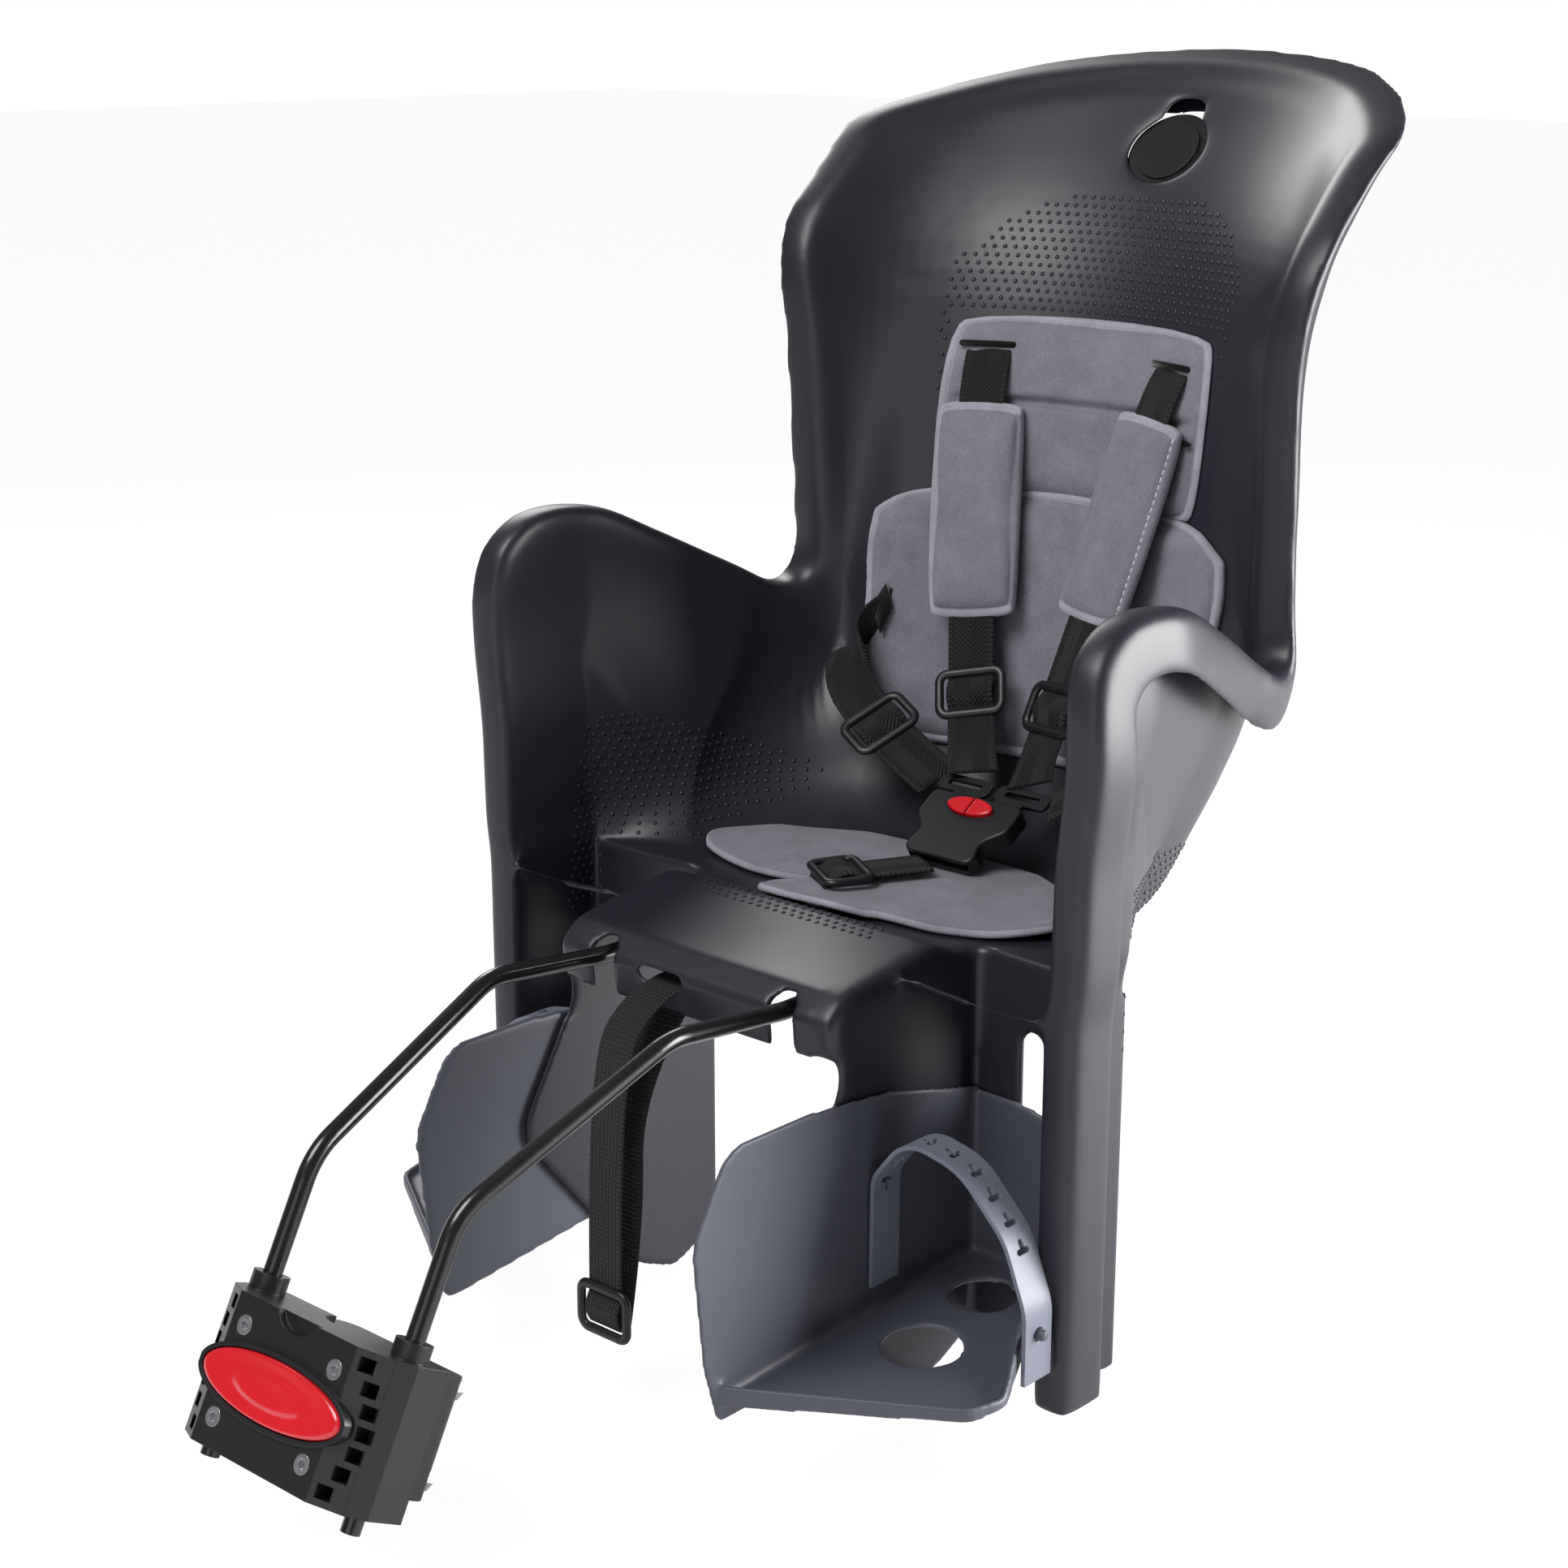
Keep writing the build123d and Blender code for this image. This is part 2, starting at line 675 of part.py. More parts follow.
# Footrest tray: sloping floor, lip, inner and back walls, and the hook in the guard's slot
with BuildPart() as foot_lip:
    with BuildSketch(seat.offset(guard_bottom)):
        with BuildLine():
            FilletPolyline(*foot_plan, radius=foot_bends, close=True)
        make_face()
        offset(amount=-foot_wall, mode=Mode.SUBTRACT)
    extrude(amount=-guard_bottom)
    with BuildSketch(side.offset(guard_inner)):
        with BuildLine():
            low = foot_floor - foot_wall / 2
            deep = low - foot_slope * (lip_top[0][0] - foot_front)
            Polyline((lip_top[0][0], low), *lip_top, (foot_front, deep), close=True)
        make_face()
    extrude(amount=front_half_width, mode=Mode.INTERSECT)

with BuildPart() as footrest_right:
    with BuildSketch(seat.offset(guard_bottom)):
        with BuildLine():
            FilletPolyline(*foot_plan, radius=foot_bends, close=True)
        make_face()
        for hole_x, hole_y, hole_diameter in foot_holes:
            with Locations((hole_x, hole_y)):
                Circle(hole_diameter / 2, mode=Mode.SUBTRACT)
    extrude(amount=-guard_bottom)
    with BuildSketch(side.offset(guard_inner)):
        with BuildLine():
            fall = foot_slope * (lip_top[0][0] - foot_front)
            Polyline(
                (lip_top[0][0], foot_floor),
                (foot_front, foot_floor - fall),
                (foot_front, foot_floor - fall - foot_wall),
                (lip_top[0][0], foot_floor - foot_wall),
                close=True,
            )
        make_face()
    extrude(amount=front_half_width, mode=Mode.INTERSECT)
    add(foot_lip.part)
    with BuildSketch(side.offset(foot_plan[0][0])):
        with BuildLine():
            FilletPolyline(*foot_inner_edge, radius=foot_inner_bends, close=True)
        make_face()
    extrude(amount=foot_wall)
    with BuildSketch(front.offset(-foot_plan[0][1])):
        with BuildLine():
            FilletPolyline(*foot_back_edge, radius=foot_back_bends, close=True)
        make_face()
    extrude(amount=foot_wall)
    # Hook: neck through the slot, flange behind the panel
    with BuildSketch(front.offset(-foot_plan[0][1])):
        with Locations((slot_offset, (hook_low + hook_high) / 2)):
            SlotOverall(hook_high - hook_low, hook_width, rotation=90)
    extrude(amount=-wall - 2 * foot_play)
    with BuildSketch(front.offset(-guard_back - wall - foot_play)):
        with Locations((slot_offset, (hook_low + hook_high) / 2)):
            RectangleRounded(hook_head, hook_high - hook_low, foot_wall)
    extrude(amount=-foot_wall)
    # Stud that the strap is buttoned on
    with BuildSketch(side.offset(stud_from)):
        with Locations((-foot_strap_y, stud_height)):
            Circle(stud_diameter / 2)
    extrude(amount=stud_length)
save(footrest_right.part, "footrest_right")

with BuildPart() as footrest_left:
    mirror(footrest_right.part, about=Plane.YZ)
save(footrest_left.part, "footrest_left")

# Strap over the foot, with a row of button holes
with BuildLine(front.offset(foot_strap_y)) as foot_route:
    FilletPolyline(*foot_strap_line, radius=foot_strap_bends)

with BuildPart() as foot_strap_right:
    with BuildSketch(front.offset(foot_strap_y)):
        with BuildLine():
            FilletPolyline(*foot_strap_line, radius=foot_strap_bends)
        trace(line_width=foot_strap_thick)
    extrude(amount=foot_strap_width / 2, both=True)
    route = foot_route.wires()[0]
    for number in range(foot_strap_holes):
        at = foot_holes_from + number * foot_holes_step
        outward = route.tangent_at(at).cross(front.z_dir)
        with BuildSketch(Plane(origin=route.position_at(at), x_dir=front.z_dir, z_dir=outward)):
            SlotOverall(3 * foot_hole, foot_hole)
            with Locations((0, foot_hole)):
                SlotOverall(2 * foot_hole, foot_hole, rotation=90)
        extrude(amount=2 * foot_strap_thick, both=True, mode=Mode.SUBTRACT)
    with BuildSketch(side.offset(stud_from)):
        with Locations((-foot_strap_y, stud_height)):
            Circle(stud_diameter / 2 + foot_play)
    extrude(amount=stud_length, mode=Mode.SUBTRACT)
save(foot_strap_right.part, "foot_strap_right")

with BuildPart() as foot_strap_left:
    mirror(foot_strap_right.part, about=Plane.YZ)
save(foot_strap_left.part, "foot_strap_left")

# Carrier rod: one bar bent to a long U, both ends in the clamp
rod_half = [
    on_block(rod_gauge / 2, -rod_tail, rod_forward),
    on_block(rod_gauge / 2, rod_knee, rod_forward),
    Vector(*rod_shoulder),
    Vector(rod_seat_gauge / 2, rod_enter_y, seat_z - rod_drop),
    Vector(rod_seat_gauge / 2, rod_end_y, seat_z - rod_drop),
]
with BuildPart() as carrier_rod:
    with BuildLine():
        FilletPolyline(*rod_half, *(Vector(-p.X, p.Y, p.Z) for p in reversed(rod_half)), radius=rod_bends)
    with BuildSketch(Plane(origin=rod_half[0], z_dir=tube_axis)):
        Circle(rod_diameter / 2)
    sweep()
save(carrier_rod.part, "carrier_rod")

with BuildPart() as carrier_bracket:
    with BuildSketch(seat.offset(-wall - saddle_gap)):
        with Locations((0, (saddle_front + saddle_back) / 2)):
            RectangleRounded(saddle_width, saddle_back - saddle_front, wall)
    extrude(amount=wall + saddle_gap - saddle_depth)
    with BuildSketch(front.offset(-saddle_back - wall)):
        with Locations((0, -wall)):
            Rectangle(saddle_bay, 2 * (saddle_depth - saddle_web - wall))
        with Locations((-rod_seat_gauge / 2, -rod_drop), (rod_seat_gauge / 2, -rod_drop)):
            Circle(rod_diameter / 2 + fit)
    extrude(amount=2 * saddle_back, mode=Mode.SUBTRACT)
    with BuildSketch(seat.offset(-2 * saddle_depth)):
        with Locations((0, (saddle_front + saddle_back) / 2)):
            with GridLocations(2 * screw_offset, screw_pitch, 2, 2):
                Circle(screw_diameter / 2 + fit)
    extrude(amount=2 * saddle_depth, mode=Mode.SUBTRACT)
save(carrier_bracket.part, "carrier_bracket")

with BuildPart() as bracket_bolts:
    with BuildSketch(seat.offset(-saddle_depth - fit)):
        with Locations((0, (saddle_front + saddle_back) / 2)):
            with GridLocations(2 * screw_offset, screw_pitch, 2, 2):
                Circle(screw_head / 2)
    extrude(amount=-screw_head_height)
    with BuildSketch(seat.offset(-saddle_depth - fit)):
        with Locations((0, (saddle_front + saddle_back) / 2)):
            with GridLocations(2 * screw_offset, screw_pitch, 2, 2):
                Circle(screw_diameter / 2)
    extrude(amount=saddle_depth - pad_gap)
save(bracket_bolts.part, "bracket_bolts")

# Clamp block: ribbed front half with the release button, jaw behind the tube
with BuildPart() as block_front:
    with BuildSketch(across.offset(-block_height / 2)):
        with BuildLine():
            outer_right = [(block_half[0][0], -jaw_split)] + [(x, -ahead) for x, ahead in block_half]
            outer_left = [(-x, y) for x, y in reversed(outer_right)]
            Polyline(*outer_right, *outer_left, close=True)
        make_face()
        Circle(tube_diameter / 2 + liner_wall, mode=Mode.SUBTRACT)
    extrude(amount=block_height)
    with BuildSketch(across.offset(block_height / 2)):
        with Locations((-rod_gauge / 2, -rod_forward), (rod_gauge / 2, -rod_forward)):
            Circle(collar_diameter / 2)
    extrude(amount=collar_height)
    with BuildSketch(across.offset(-block_height)):
        with Locations((-rod_gauge / 2, -rod_forward), (rod_gauge / 2, -rod_forward)):
            Circle(rod_diameter / 2 + fit)
    extrude(amount=2 * block_height, mode=Mode.SUBTRACT)
    with BuildSketch(face.offset(-bezel_wall)):
        Ellipse(button_length / 2 + bezel_wall, button_breadth / 2 + bezel_wall)
    extrude(amount=bezel_wall + bezel_proud)
    with BuildSketch(face.offset(bezel_proud)):
        Ellipse(button_length / 2 + button_play, button_breadth / 2 + button_play)
    extrude(amount=-bezel_proud - button_depth - button_travel - button_play, mode=Mode.SUBTRACT)
    with BuildSketch(face):
        with GridLocations(bolt_spread, bolt_rise, 2, 2):
            Circle(bolt_head / 2 + bolt_play)
    extrude(amount=-bolt_head_height, mode=Mode.SUBTRACT)
    with BuildSketch(face):
        with GridLocations(bolt_spread, bolt_rise, 2, 2):
            Circle(bolt_diameter / 2 + bolt_play)
    extrude(amount=-block_face, mode=Mode.SUBTRACT)
    # Lightening pockets that bow round the ends of the button
    with BuildSketch(face.offset(pocket_floor - block_face)):
        for number in range(pocket_count):
            rise = (number - (pocket_count - 1) / 2) * pocket_pitch
            reach = pocket_near + pocket_bow * (1 - (2 * rise / block_height) ** 2)
            with Locations((reach, rise), (-reach, rise)):
                Rectangle(pocket_size, pocket_size)
    extrude(amount=block_face, mode=Mode.SUBTRACT)
    # Thumb notch in the top edge
    with BuildSketch(face.offset(-notch_depth)):
        with Locations((0, block_height / 2 + notch_radius / 2)):
            Circle(notch_radius)
    extrude(amount=2 * notch_depth, mode=Mode.SUBTRACT)
save(block_front.part, "block_front")

with BuildPart() as block_rear:
    with BuildSketch(across.offset(-jaw_height / 2)):
        with Locations((0, jaw_split)):
            Rectangle(jaw_width, jaw_back - jaw_split, align=(Align.CENTER, Align.MIN))
        Circle(tube_diameter / 2 + liner_wall, mode=Mode.SUBTRACT)
    extrude(amount=jaw_height)
    with BuildSketch(face.offset(-block_face - jaw_back)):
        with GridLocations(bolt_spread, bolt_rise, 2, 2):
            Circle(bolt_diameter / 2 + bolt_play)
    extrude(amount=jaw_back, mode=Mode.SUBTRACT)
    upright_edges = block_rear.edges().filter_by(Axis((0, 0, 0), tube_axis))
    fillet(upright_edges.sort_by(Axis((0, 0, 0), face_normal))[:2], jaw_round)
save(block_rear.part, "block_rear")

with BuildPart() as tube_liner:
    with BuildSketch(across.offset(-jaw_height / 2)):
        Circle(tube_diameter / 2 + liner_wall - fit)
        Circle(tube_diameter / 2, mode=Mode.SUBTRACT)
        with Locations((tube_diameter / 2, 0)):
            Rectangle(tube_diameter / 2, liner_gap, mode=Mode.SUBTRACT)
    extrude(amount=jaw_height)
save(tube_liner.part, "tube_liner")

bolt_end = block_face + jaw_back + nut_height + bolt_spare
with BuildPart() as clamp_bolts:
    with BuildSketch(face.offset(-bolt_head_height + fit)):
        with GridLocations(bolt_spread, bolt_rise, 2, 2):
            Circle(bolt_head / 2)
    extrude(amount=bolt_head_height)
    with BuildSketch(face):
        with GridLocations(bolt_spread, bolt_rise, 2, 2):
            RegularPolygon(bolt_socket / 2, 6, major_radius=False)
    extrude(amount=-bolt_head_height / 2, both=True, mode=Mode.SUBTRACT)
    with BuildSketch(face.offset(-bolt_head_height + fit)):
        with GridLocations(bolt_spread, bolt_rise, 2, 2):
            Circle(bolt_diameter / 2)
    extrude(amount=bolt_head_height - bolt_end)
save(clamp_bolts.part, "clamp_bolts")

with BuildPart() as clamp_nuts:
    with BuildSketch(face.offset(-block_face - jaw_back - fit)):
        with GridLocations(bolt_spread, bolt_rise, 2, 2):
            RegularPolygon(nut_across / 2, 6, major_radius=False)
            Circle(bolt_diameter / 2 + fit, mode=Mode.SUBTRACT)
    extrude(amount=-nut_height)
save(clamp_nuts.part, "clamp_nuts")

with BuildPart() as release_button:
    with BuildSketch(face.offset(-button_depth)):
        Ellipse(button_length / 2, button_breadth / 2)
    extrude(amount=button_depth + button_proud)
    fillet(release_button.faces().sort_by(Axis((0, 0, 0), face_normal))[-1].edges(), button_round)
save(release_button.part, "release_button")

# Safety strap: out of the nose, down to its slide, and back up under the nose
crosswise = Vector(1, 0, 0)
safety_down = [on_seat(safety_offset, y, rise) for y, rise in safety_line]
safety_up = [on_seat(safety_offset, y, rise) for y, rise in safety_return]


def cord_bends(points):
    """The bend at each corner of a cord's route, eased over most of its shorter run."""
    radii = []
    for before, corner, after in zip(points, points[1:], points[2:]):
        turn = radians((corner - before).get_angle(after - corner))
        run = min((corner - before).length, (after - corner).length)
        radii.append(cord_ease * run / tan(turn / 2))
    return radii


safety_bends = cord_bends(safety_down)
return_bends = cord_bends(safety_up)
print("safety strap bends", safety_bends, "return bends", return_bends)

with BuildPart() as safety_strap:
    add(ribbon(strap_plane(safety_down, crosswise), safety_down, safety_width, safety_thick, safety_bends))
save(safety_strap.part, "safety_strap")

with BuildPart() as safety_strap_return:
    add(ribbon(strap_plane(safety_up, crosswise), safety_up, safety_width, safety_thick, return_bends))
save(safety_strap_return.part, "safety_strap_return")

with BuildPart() as safety_strap_adjuster:
    with BuildSketch(front.offset(-safety_line[-1][0])):
        with Locations((safety_offset, slide_height)):
            RectangleRounded(slide_width, slide_length, wall)
    extrude(amount=slide_thick / 2, both=True)
    with BuildSketch(seat.offset(guard_bottom)):
        with Locations((safety_offset, safety_line[-1][0])):
            Rectangle(safety_width + 2 * web_play, safety_thick + 2 * web_play)
    extrude(amount=-guard_bottom, mode=Mode.SUBTRACT)
save(safety_strap_adjuster.part, "safety_strap_adjuster")
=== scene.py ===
"""Looks of a rear child seat for a bicycle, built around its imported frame, in metres."""
import logging
import math
from collections.abc import Callable, Sequence
from dataclasses import dataclass
from enum import Enum

import bpy
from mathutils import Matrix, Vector
from mathutils.bvhtree import BVHTree
from mathutils.kdtree import KDTree


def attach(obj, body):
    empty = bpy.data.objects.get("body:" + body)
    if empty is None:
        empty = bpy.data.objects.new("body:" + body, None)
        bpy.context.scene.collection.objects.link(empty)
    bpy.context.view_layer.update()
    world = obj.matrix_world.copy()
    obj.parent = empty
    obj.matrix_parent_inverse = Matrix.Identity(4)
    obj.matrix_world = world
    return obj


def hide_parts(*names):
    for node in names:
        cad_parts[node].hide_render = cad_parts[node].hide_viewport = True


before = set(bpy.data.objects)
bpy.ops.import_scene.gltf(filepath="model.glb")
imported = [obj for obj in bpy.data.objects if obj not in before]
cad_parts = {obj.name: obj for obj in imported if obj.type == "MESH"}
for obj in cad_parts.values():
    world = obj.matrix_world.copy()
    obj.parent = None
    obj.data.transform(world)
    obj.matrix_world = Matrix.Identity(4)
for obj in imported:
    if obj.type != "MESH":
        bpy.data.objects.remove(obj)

log = logging.getLogger("child_seat")
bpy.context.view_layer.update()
MM = 0.001
SEAT_DATUM = Vector((0.0, 348.0, 166.0))
UP = Vector((0.0, 0.0, 1.0))
ACROSS = Vector((1.0, 0.0, 0.0))
BACKWARD = Vector((0.0, 1.0, 0.0))

Point2 = tuple[float, float]
Point3 = tuple[float, float, float]
Face = tuple[int, ...]
Socket = bpy.types.NodeSocket
# A point on a surface with the surface's outward normal
Spot = tuple[Vector, Vector]
Place = Callable[[float, float], Spot]
# What holds at a flat point of a panel, given with its inset from the edge
Rise = Callable[[float, float, float], float]
Test = Callable[[float, float, float], bool]


class Body(Enum):
    """The moving bodies that pieces ride on."""

    BUTTON = "release_button"
    SEAT = "seat"
    FOOT_LEFT = "footrest_left"
    FOOT_RIGHT = "footrest_right"


class Slot(Enum):
    """The record's material slots, passed along with the pieces."""

    SHELL = "black_polypropylene"
    VELOUR = "grey_velour"
    WEBBING = "black_webbing"
    NYLON = "black_nylon"
    FOOT = "grey_polypropylene"
    RED = "red_gloss_plastic"


def seat_point(x: float, y: float, height: float) -> Vector:
    """A point in metres from seat coordinates in mm, measured from the pan's datum."""
    return (Vector((x, y, height)) + SEAT_DATUM) * MM


def linear(hex_code: str, gain: float = 1.0) -> tuple[float, float, float, float]:
    """Turns an sRGB hex colour into linear light.

    Args:
        hex_code: Colour as #rrggbb.
        gain: Factor on the linear values, for lighter or darker shades of one colour.

    Returns:
        Linear red, green, blue and an alpha of 1.
    """
    shades = [int(hex_code[place:place + 2], 16) / 255 for place in (1, 3, 5)]
    light = [s / 12.92 if s <= 0.04045 else ((s + 0.055) / 1.055) ** 2.4 for s in shades]
    return tuple(min(1.0, value * gain) for value in light) + (1.0,)


@dataclass(frozen=True)
class Graph:
    """A shader's node tree, with the kinds of node that the finishes share."""

    tree: bpy.types.NodeTree

    @classmethod
    def of(cls, owner: bpy.types.Material | bpy.types.World) -> "Graph":
        """Gives a material or world an empty node tree."""
        owner.use_nodes = True
        owner.node_tree.nodes.clear()
        return cls(owner.node_tree)

    def add(self, kind: str, inputs: dict | None = None, **settings: str | int) -> bpy.types.Node:
        """Adds one node.

        Args:
            kind: Node's type name, less ShaderNode.
            inputs: Constants or output sockets, by input name or number.
            settings: Attributes to set on the node first.

        Returns:
            The new node.
        """
        node = self.tree.nodes.new(f"ShaderNode{kind}")
        for name, value in settings.items():
            setattr(node, name, value)
        self.feed(node, inputs or {})
        return node

    def feed(self, node: bpy.types.Node, inputs: dict) -> None:
        """Sets or links a node's inputs, by name or number."""
        for name, value in inputs.items():
            if isinstance(value, Socket):
                self.tree.links.new(value, node.inputs[name])
            else:
                node.inputs[name].default_value = value

    def noise(self, size_mm: float, detail: float, roughness: float = 0.5) -> Socket:
        """Noise fixed to the piece, with features of a size."""
        place = self.add("TexCoord").outputs["Object"]
        inputs = {"Scale": 1 / (size_mm * MM), "Detail": detail, "Roughness": roughness}
        return self.add("TexNoise", {"Vector": place, **inputs}).outputs[0]

    def math(self, operation: str, *values: float | Socket) -> Socket:
        """The result of one operation on constants or sockets."""
        return self.add("Math", dict(enumerate(values)), operation=operation).outputs[0]

    def span(self, value: Socket, low: float, high: float, source: Point2 = (0.0, 1.0)) -> Socket:
        """Maps a value from its source span to another, held at both ends."""
        ends = {"From Min": source[0], "From Max": source[1], "To Min": low, "To Max": high}
        return self.add("MapRange", {"Value": value, **ends}).outputs[0]

    def bump(self, height: Socket, rise_mm: float, strength: float) -> bpy.types.Node:
        """Relief from a height between 0 and 1."""
        return self.add("Bump", {"Strength": strength, "Distance": rise_mm * MM, "Height": height})

    def soft_edge(self, radius_mm: float) -> Socket:
        """Normals as if edges were rounded."""
        return self.add("Bevel", {"Radius": radius_mm * MM}, samples=4).outputs[0]


@dataclass(frozen=True)
class Finish:
    """A surface finish that becomes one procedural material."""

    name: str
    colour: str
    roughness: float

    def material(self) -> bpy.types.Material:
        """Gives the finish's material, made on first use."""
        found = bpy.data.materials.get(self.name)
        if found is not None:
            return found
        made = bpy.data.materials.new(self.name)
        graph = Graph.of(made)
        shader = graph.add("BsdfPrincipled")
        graph.add("OutputMaterial", {"Surface": shader.outputs[0]})
        graph.feed(shader, self.surface(graph))
        return made

    def surface(self, graph: Graph) -> dict[str, float | Socket]:
        """Builds the nodes behind the surface.

        Args:
            graph: Material's nodes.

        Returns:
            The principled shader's inputs by name.
        """
        raise NotImplementedError

    def shaded(self, graph: Graph, factor: Socket, low: float, high: float) -> Socket:
        """Mixes a darker and a lighter shade of the finish's colour.

        Args:
            graph: Material's nodes.
            factor: Socket from 0, darker, to 1, lighter.
            low: Gain of the darker shade.
            high: Gain of the lighter shade.

        Returns:
            The mixed colour's socket.
        """
        shades = {6: linear(self.colour, low), 7: linear(self.colour, high)}
        return graph.add("Mix", {0: factor, **shades}, data_type="RGBA").outputs[2]


@dataclass(frozen=True)
class MouldedPlastic(Finish):
    """Injection-moulded plastic: fine tool grain, softly rounded edges, a satin to glossy skin."""

    grain_mm: float = 1.3
    grain_rise_mm: float = 0.08
    edge_mm: float = 1.2
    coat: float = 0.0
    mottle: float = 0.1
    flow_mm: float = 1000 / 11
    uneven_gloss: float = 0.06

    def surface(self, graph: Graph) -> dict[str, float | Socket]:
        """Builds grain, mottling, rounded edges and coat."""
        # The tool's grain is about 0.3 mm; it is drawn coarser so that it shows
        bump = graph.bump(graph.noise(self.grain_mm, 2.0), self.grain_rise_mm, 0.35)
        # Flow of the melt leaves faint shades some 90 mm wide
        flow = graph.noise(self.flow_mm, 3.0)
        if self.edge_mm:
            graph.feed(bump, {"Normal": graph.soft_edge(self.edge_mm)})
        low, high = self.roughness - self.uneven_gloss, self.roughness + self.uneven_gloss
        return {
            "Base Color": self.shaded(graph, flow, 1 - self.mottle, 1 + self.mottle),
            "Roughness": graph.span(flow, low, high),
            "Normal": bump.outputs[0],
            "IOR": 1.49,
            "Coat Weight": self.coat,
            "Coat Roughness": 0.12,
        }


@dataclass(frozen=True)
class Velour(Finish):
    """Short-pile velour on foam: soft sheen, brushed patches and a fine felted nap."""

    nap_mm: float = 1.5
    brushed_mm: float = 26.0
    nap_rise_mm: float = 0.5

    def surface(self, graph: Graph) -> dict[str, float | Socket]:
        """Builds nap, brushed patches and sheen."""
        # Pile threads are some 0.2 mm thick; the nap is drawn in tufts so that it shows
        nap = graph.noise(self.nap_mm, 4.0, 0.75)
        brushed = graph.noise(self.brushed_mm, 5.0, 0.7)
        factor = graph.span(graph.math("ADD", nap, brushed), 0.0, 1.0, (0.65, 1.35))
        return {
            "Base Color": self.shaded(graph, factor, 0.72, 1.3),
            "Normal": graph.bump(nap, self.nap_rise_mm, 0.55).outputs[0],
            "Roughness": self.roughness,
            "Sheen Weight": 0.35,
            "Sheen Roughness": 0.45,
            "Specular IOR Level": 0.2,
        }


@dataclass(frozen=True)
class Webbing(Finish):
    """Woven polyester webbing: herringbone columns between two corded edges."""

    width_mm: float = 30.0
    pitch_mm: float = 2.4
    column_mm: float = 10.0
    selvedge_mm: float = 2.6
    rib_rise_mm: float = 0.7

    def surface(self, graph: Graph) -> dict[str, float | Socket]:
        """Builds the herringbone from the strap's own run and breadth, in metres; its colour is painted shade
        in the grooves and painted highlight on the ribs.
        """
        weave = graph.add("UVMap", uv_map="weave").outputs[0]
        run, breadth, _ = graph.add("SeparateXYZ", {0: weave}).outputs
        half_pitch = self.pitch_mm * MM / 2
        # Threads are 0.6 mm apart; the ribs are drawn at four threads so that they show
        zigzag = graph.math("PINGPONG", breadth, self.column_mm * MM)
        rib = graph.math("PINGPONG", graph.math("ADD", run, zigzag), half_pitch)
        cord = graph.math("PINGPONG", run, half_pitch)
        away = graph.math("ABSOLUTE", breadth)
        at_edge = graph.math("GREATER_THAN", away, (self.width_mm / 2 - self.selvedge_mm) * MM)
        height = graph.add("Mix", {0: at_edge, 2: rib, 3: cord}, data_type="FLOAT").outputs[0]
        level = graph.span(height, 0.0, 1.0, (0.0, half_pitch))
        return {
            # Painted shade and highlight: the colour darkens in the weave's grooves and lightens on its ribs,
            # following the relief
            "Base Color": self.shaded(graph, level, 0.35, 2.2),
            "Normal": graph.bump(level, self.rib_rise_mm, 1.0).outputs[0],
            "Roughness": self.roughness,
            "Sheen Weight": 0.05,
            "Specular IOR Level": 0.35,
        }


@dataclass(frozen=True)
class TurnedSteel(Finish):
    """Zinc-plated steel: pale metal with fine, uneven haze from plating and handling."""

    haze_mm: float = 2.0
    edge_mm: float = 0.5

    def surface(self, graph: Graph) -> dict[str, float | Socket]:
        """Builds the haze that varies the gloss."""
        haze = graph.noise(self.haze_mm, 3.0)
        return {
            "Base Color": self.shaded(graph, haze, 0.85, 1.05),
            "Roughness": graph.span(haze, self.roughness - 0.08, self.roughness + 0.1),
            "Normal": graph.soft_edge(self.edge_mm),
            "Metallic": 1.0,
        }


# Black polypropylene from a grained tool: dark anthracite, satin, pale where light grazes it
SHELL_PLASTIC = MouldedPlastic("moulded_polypropylene_black", "#22202a", 0.4, edge_mm=0.0)
# Polypropylene in slate grey, grained like the shell
FOOT_PLASTIC = MouldedPlastic("moulded_polypropylene_slate", "#4b4d58", 0.46, edge_mm=0.0)
# Soft polyethylene band: paler and smoother than the tray
BAND_PLASTIC = MouldedPlastic("moulded_polyethylene_band", "#6f7280", 0.42, grain_rise_mm=0.03, edge_mm=0.8)
# Glass-filled nylon of block and buckles: harder black, a little glossier
NYLON = MouldedPlastic("moulded_nylon_black", "#17161a", 0.36, grain_mm=1.0, edge_mm=0.9)
# Dark plug, smoother than the shell
PLUG_PLASTIC = MouldedPlastic("moulded_polypropylene_plug", "#18171b", 0.3, grain_rise_mm=0.03, edge_mm=0.6)
# Gloss ABS in signal red: polished tool, clear highlights
RED_PLASTIC = MouldedPlastic("polished_abs_red", "#d3101c", 0.22, grain_rise_mm=0.01, edge_mm=0.8, coat=0.6)
# Powder-coated steel rod: deep black, glossy, with a slight orange peel
ROD_PAINT = MouldedPlastic(
    "powder_coated_steel_black", "#0d0d0f", 0.26, grain_mm=2.5, grain_rise_mm=0.03, edge_mm=0.5, coat=0.4
)
# Rubber liner: matt black
RUBBER = MouldedPlastic("moulded_rubber_black", "#141414", 0.75, edge_mm=0.6)
# Bolts and nuts: zinc-plated steel
STEEL = TurnedSteel("zinc_plated_steel", "#c9cacd", 0.3)
# Pads and sleeves: grey velour with a foam back
VELOUR = Velour("foam_backed_velour_grey", "#7b7883", 0.92)
# Welded edge: the pile is pressed flat and looks paler and smoother
WELDED_EDGE = Velour("welded_velour_edge", "#9a97a3", 0.8, nap_mm=1.1, nap_rise_mm=0.12)
# Painted shade in the pad's slits: a near-black patch stands for the dark openings
SLIT_SHADE = Velour("painted_slit_shade", "#0b0b0d", 0.9, nap_rise_mm=0.05)
# Harness: polyester in a herringbone weave
HARNESS_WEBBING = Webbing("herringbone_webbing_black", "#0f0f11", 0.7, pitch_mm=3.0)
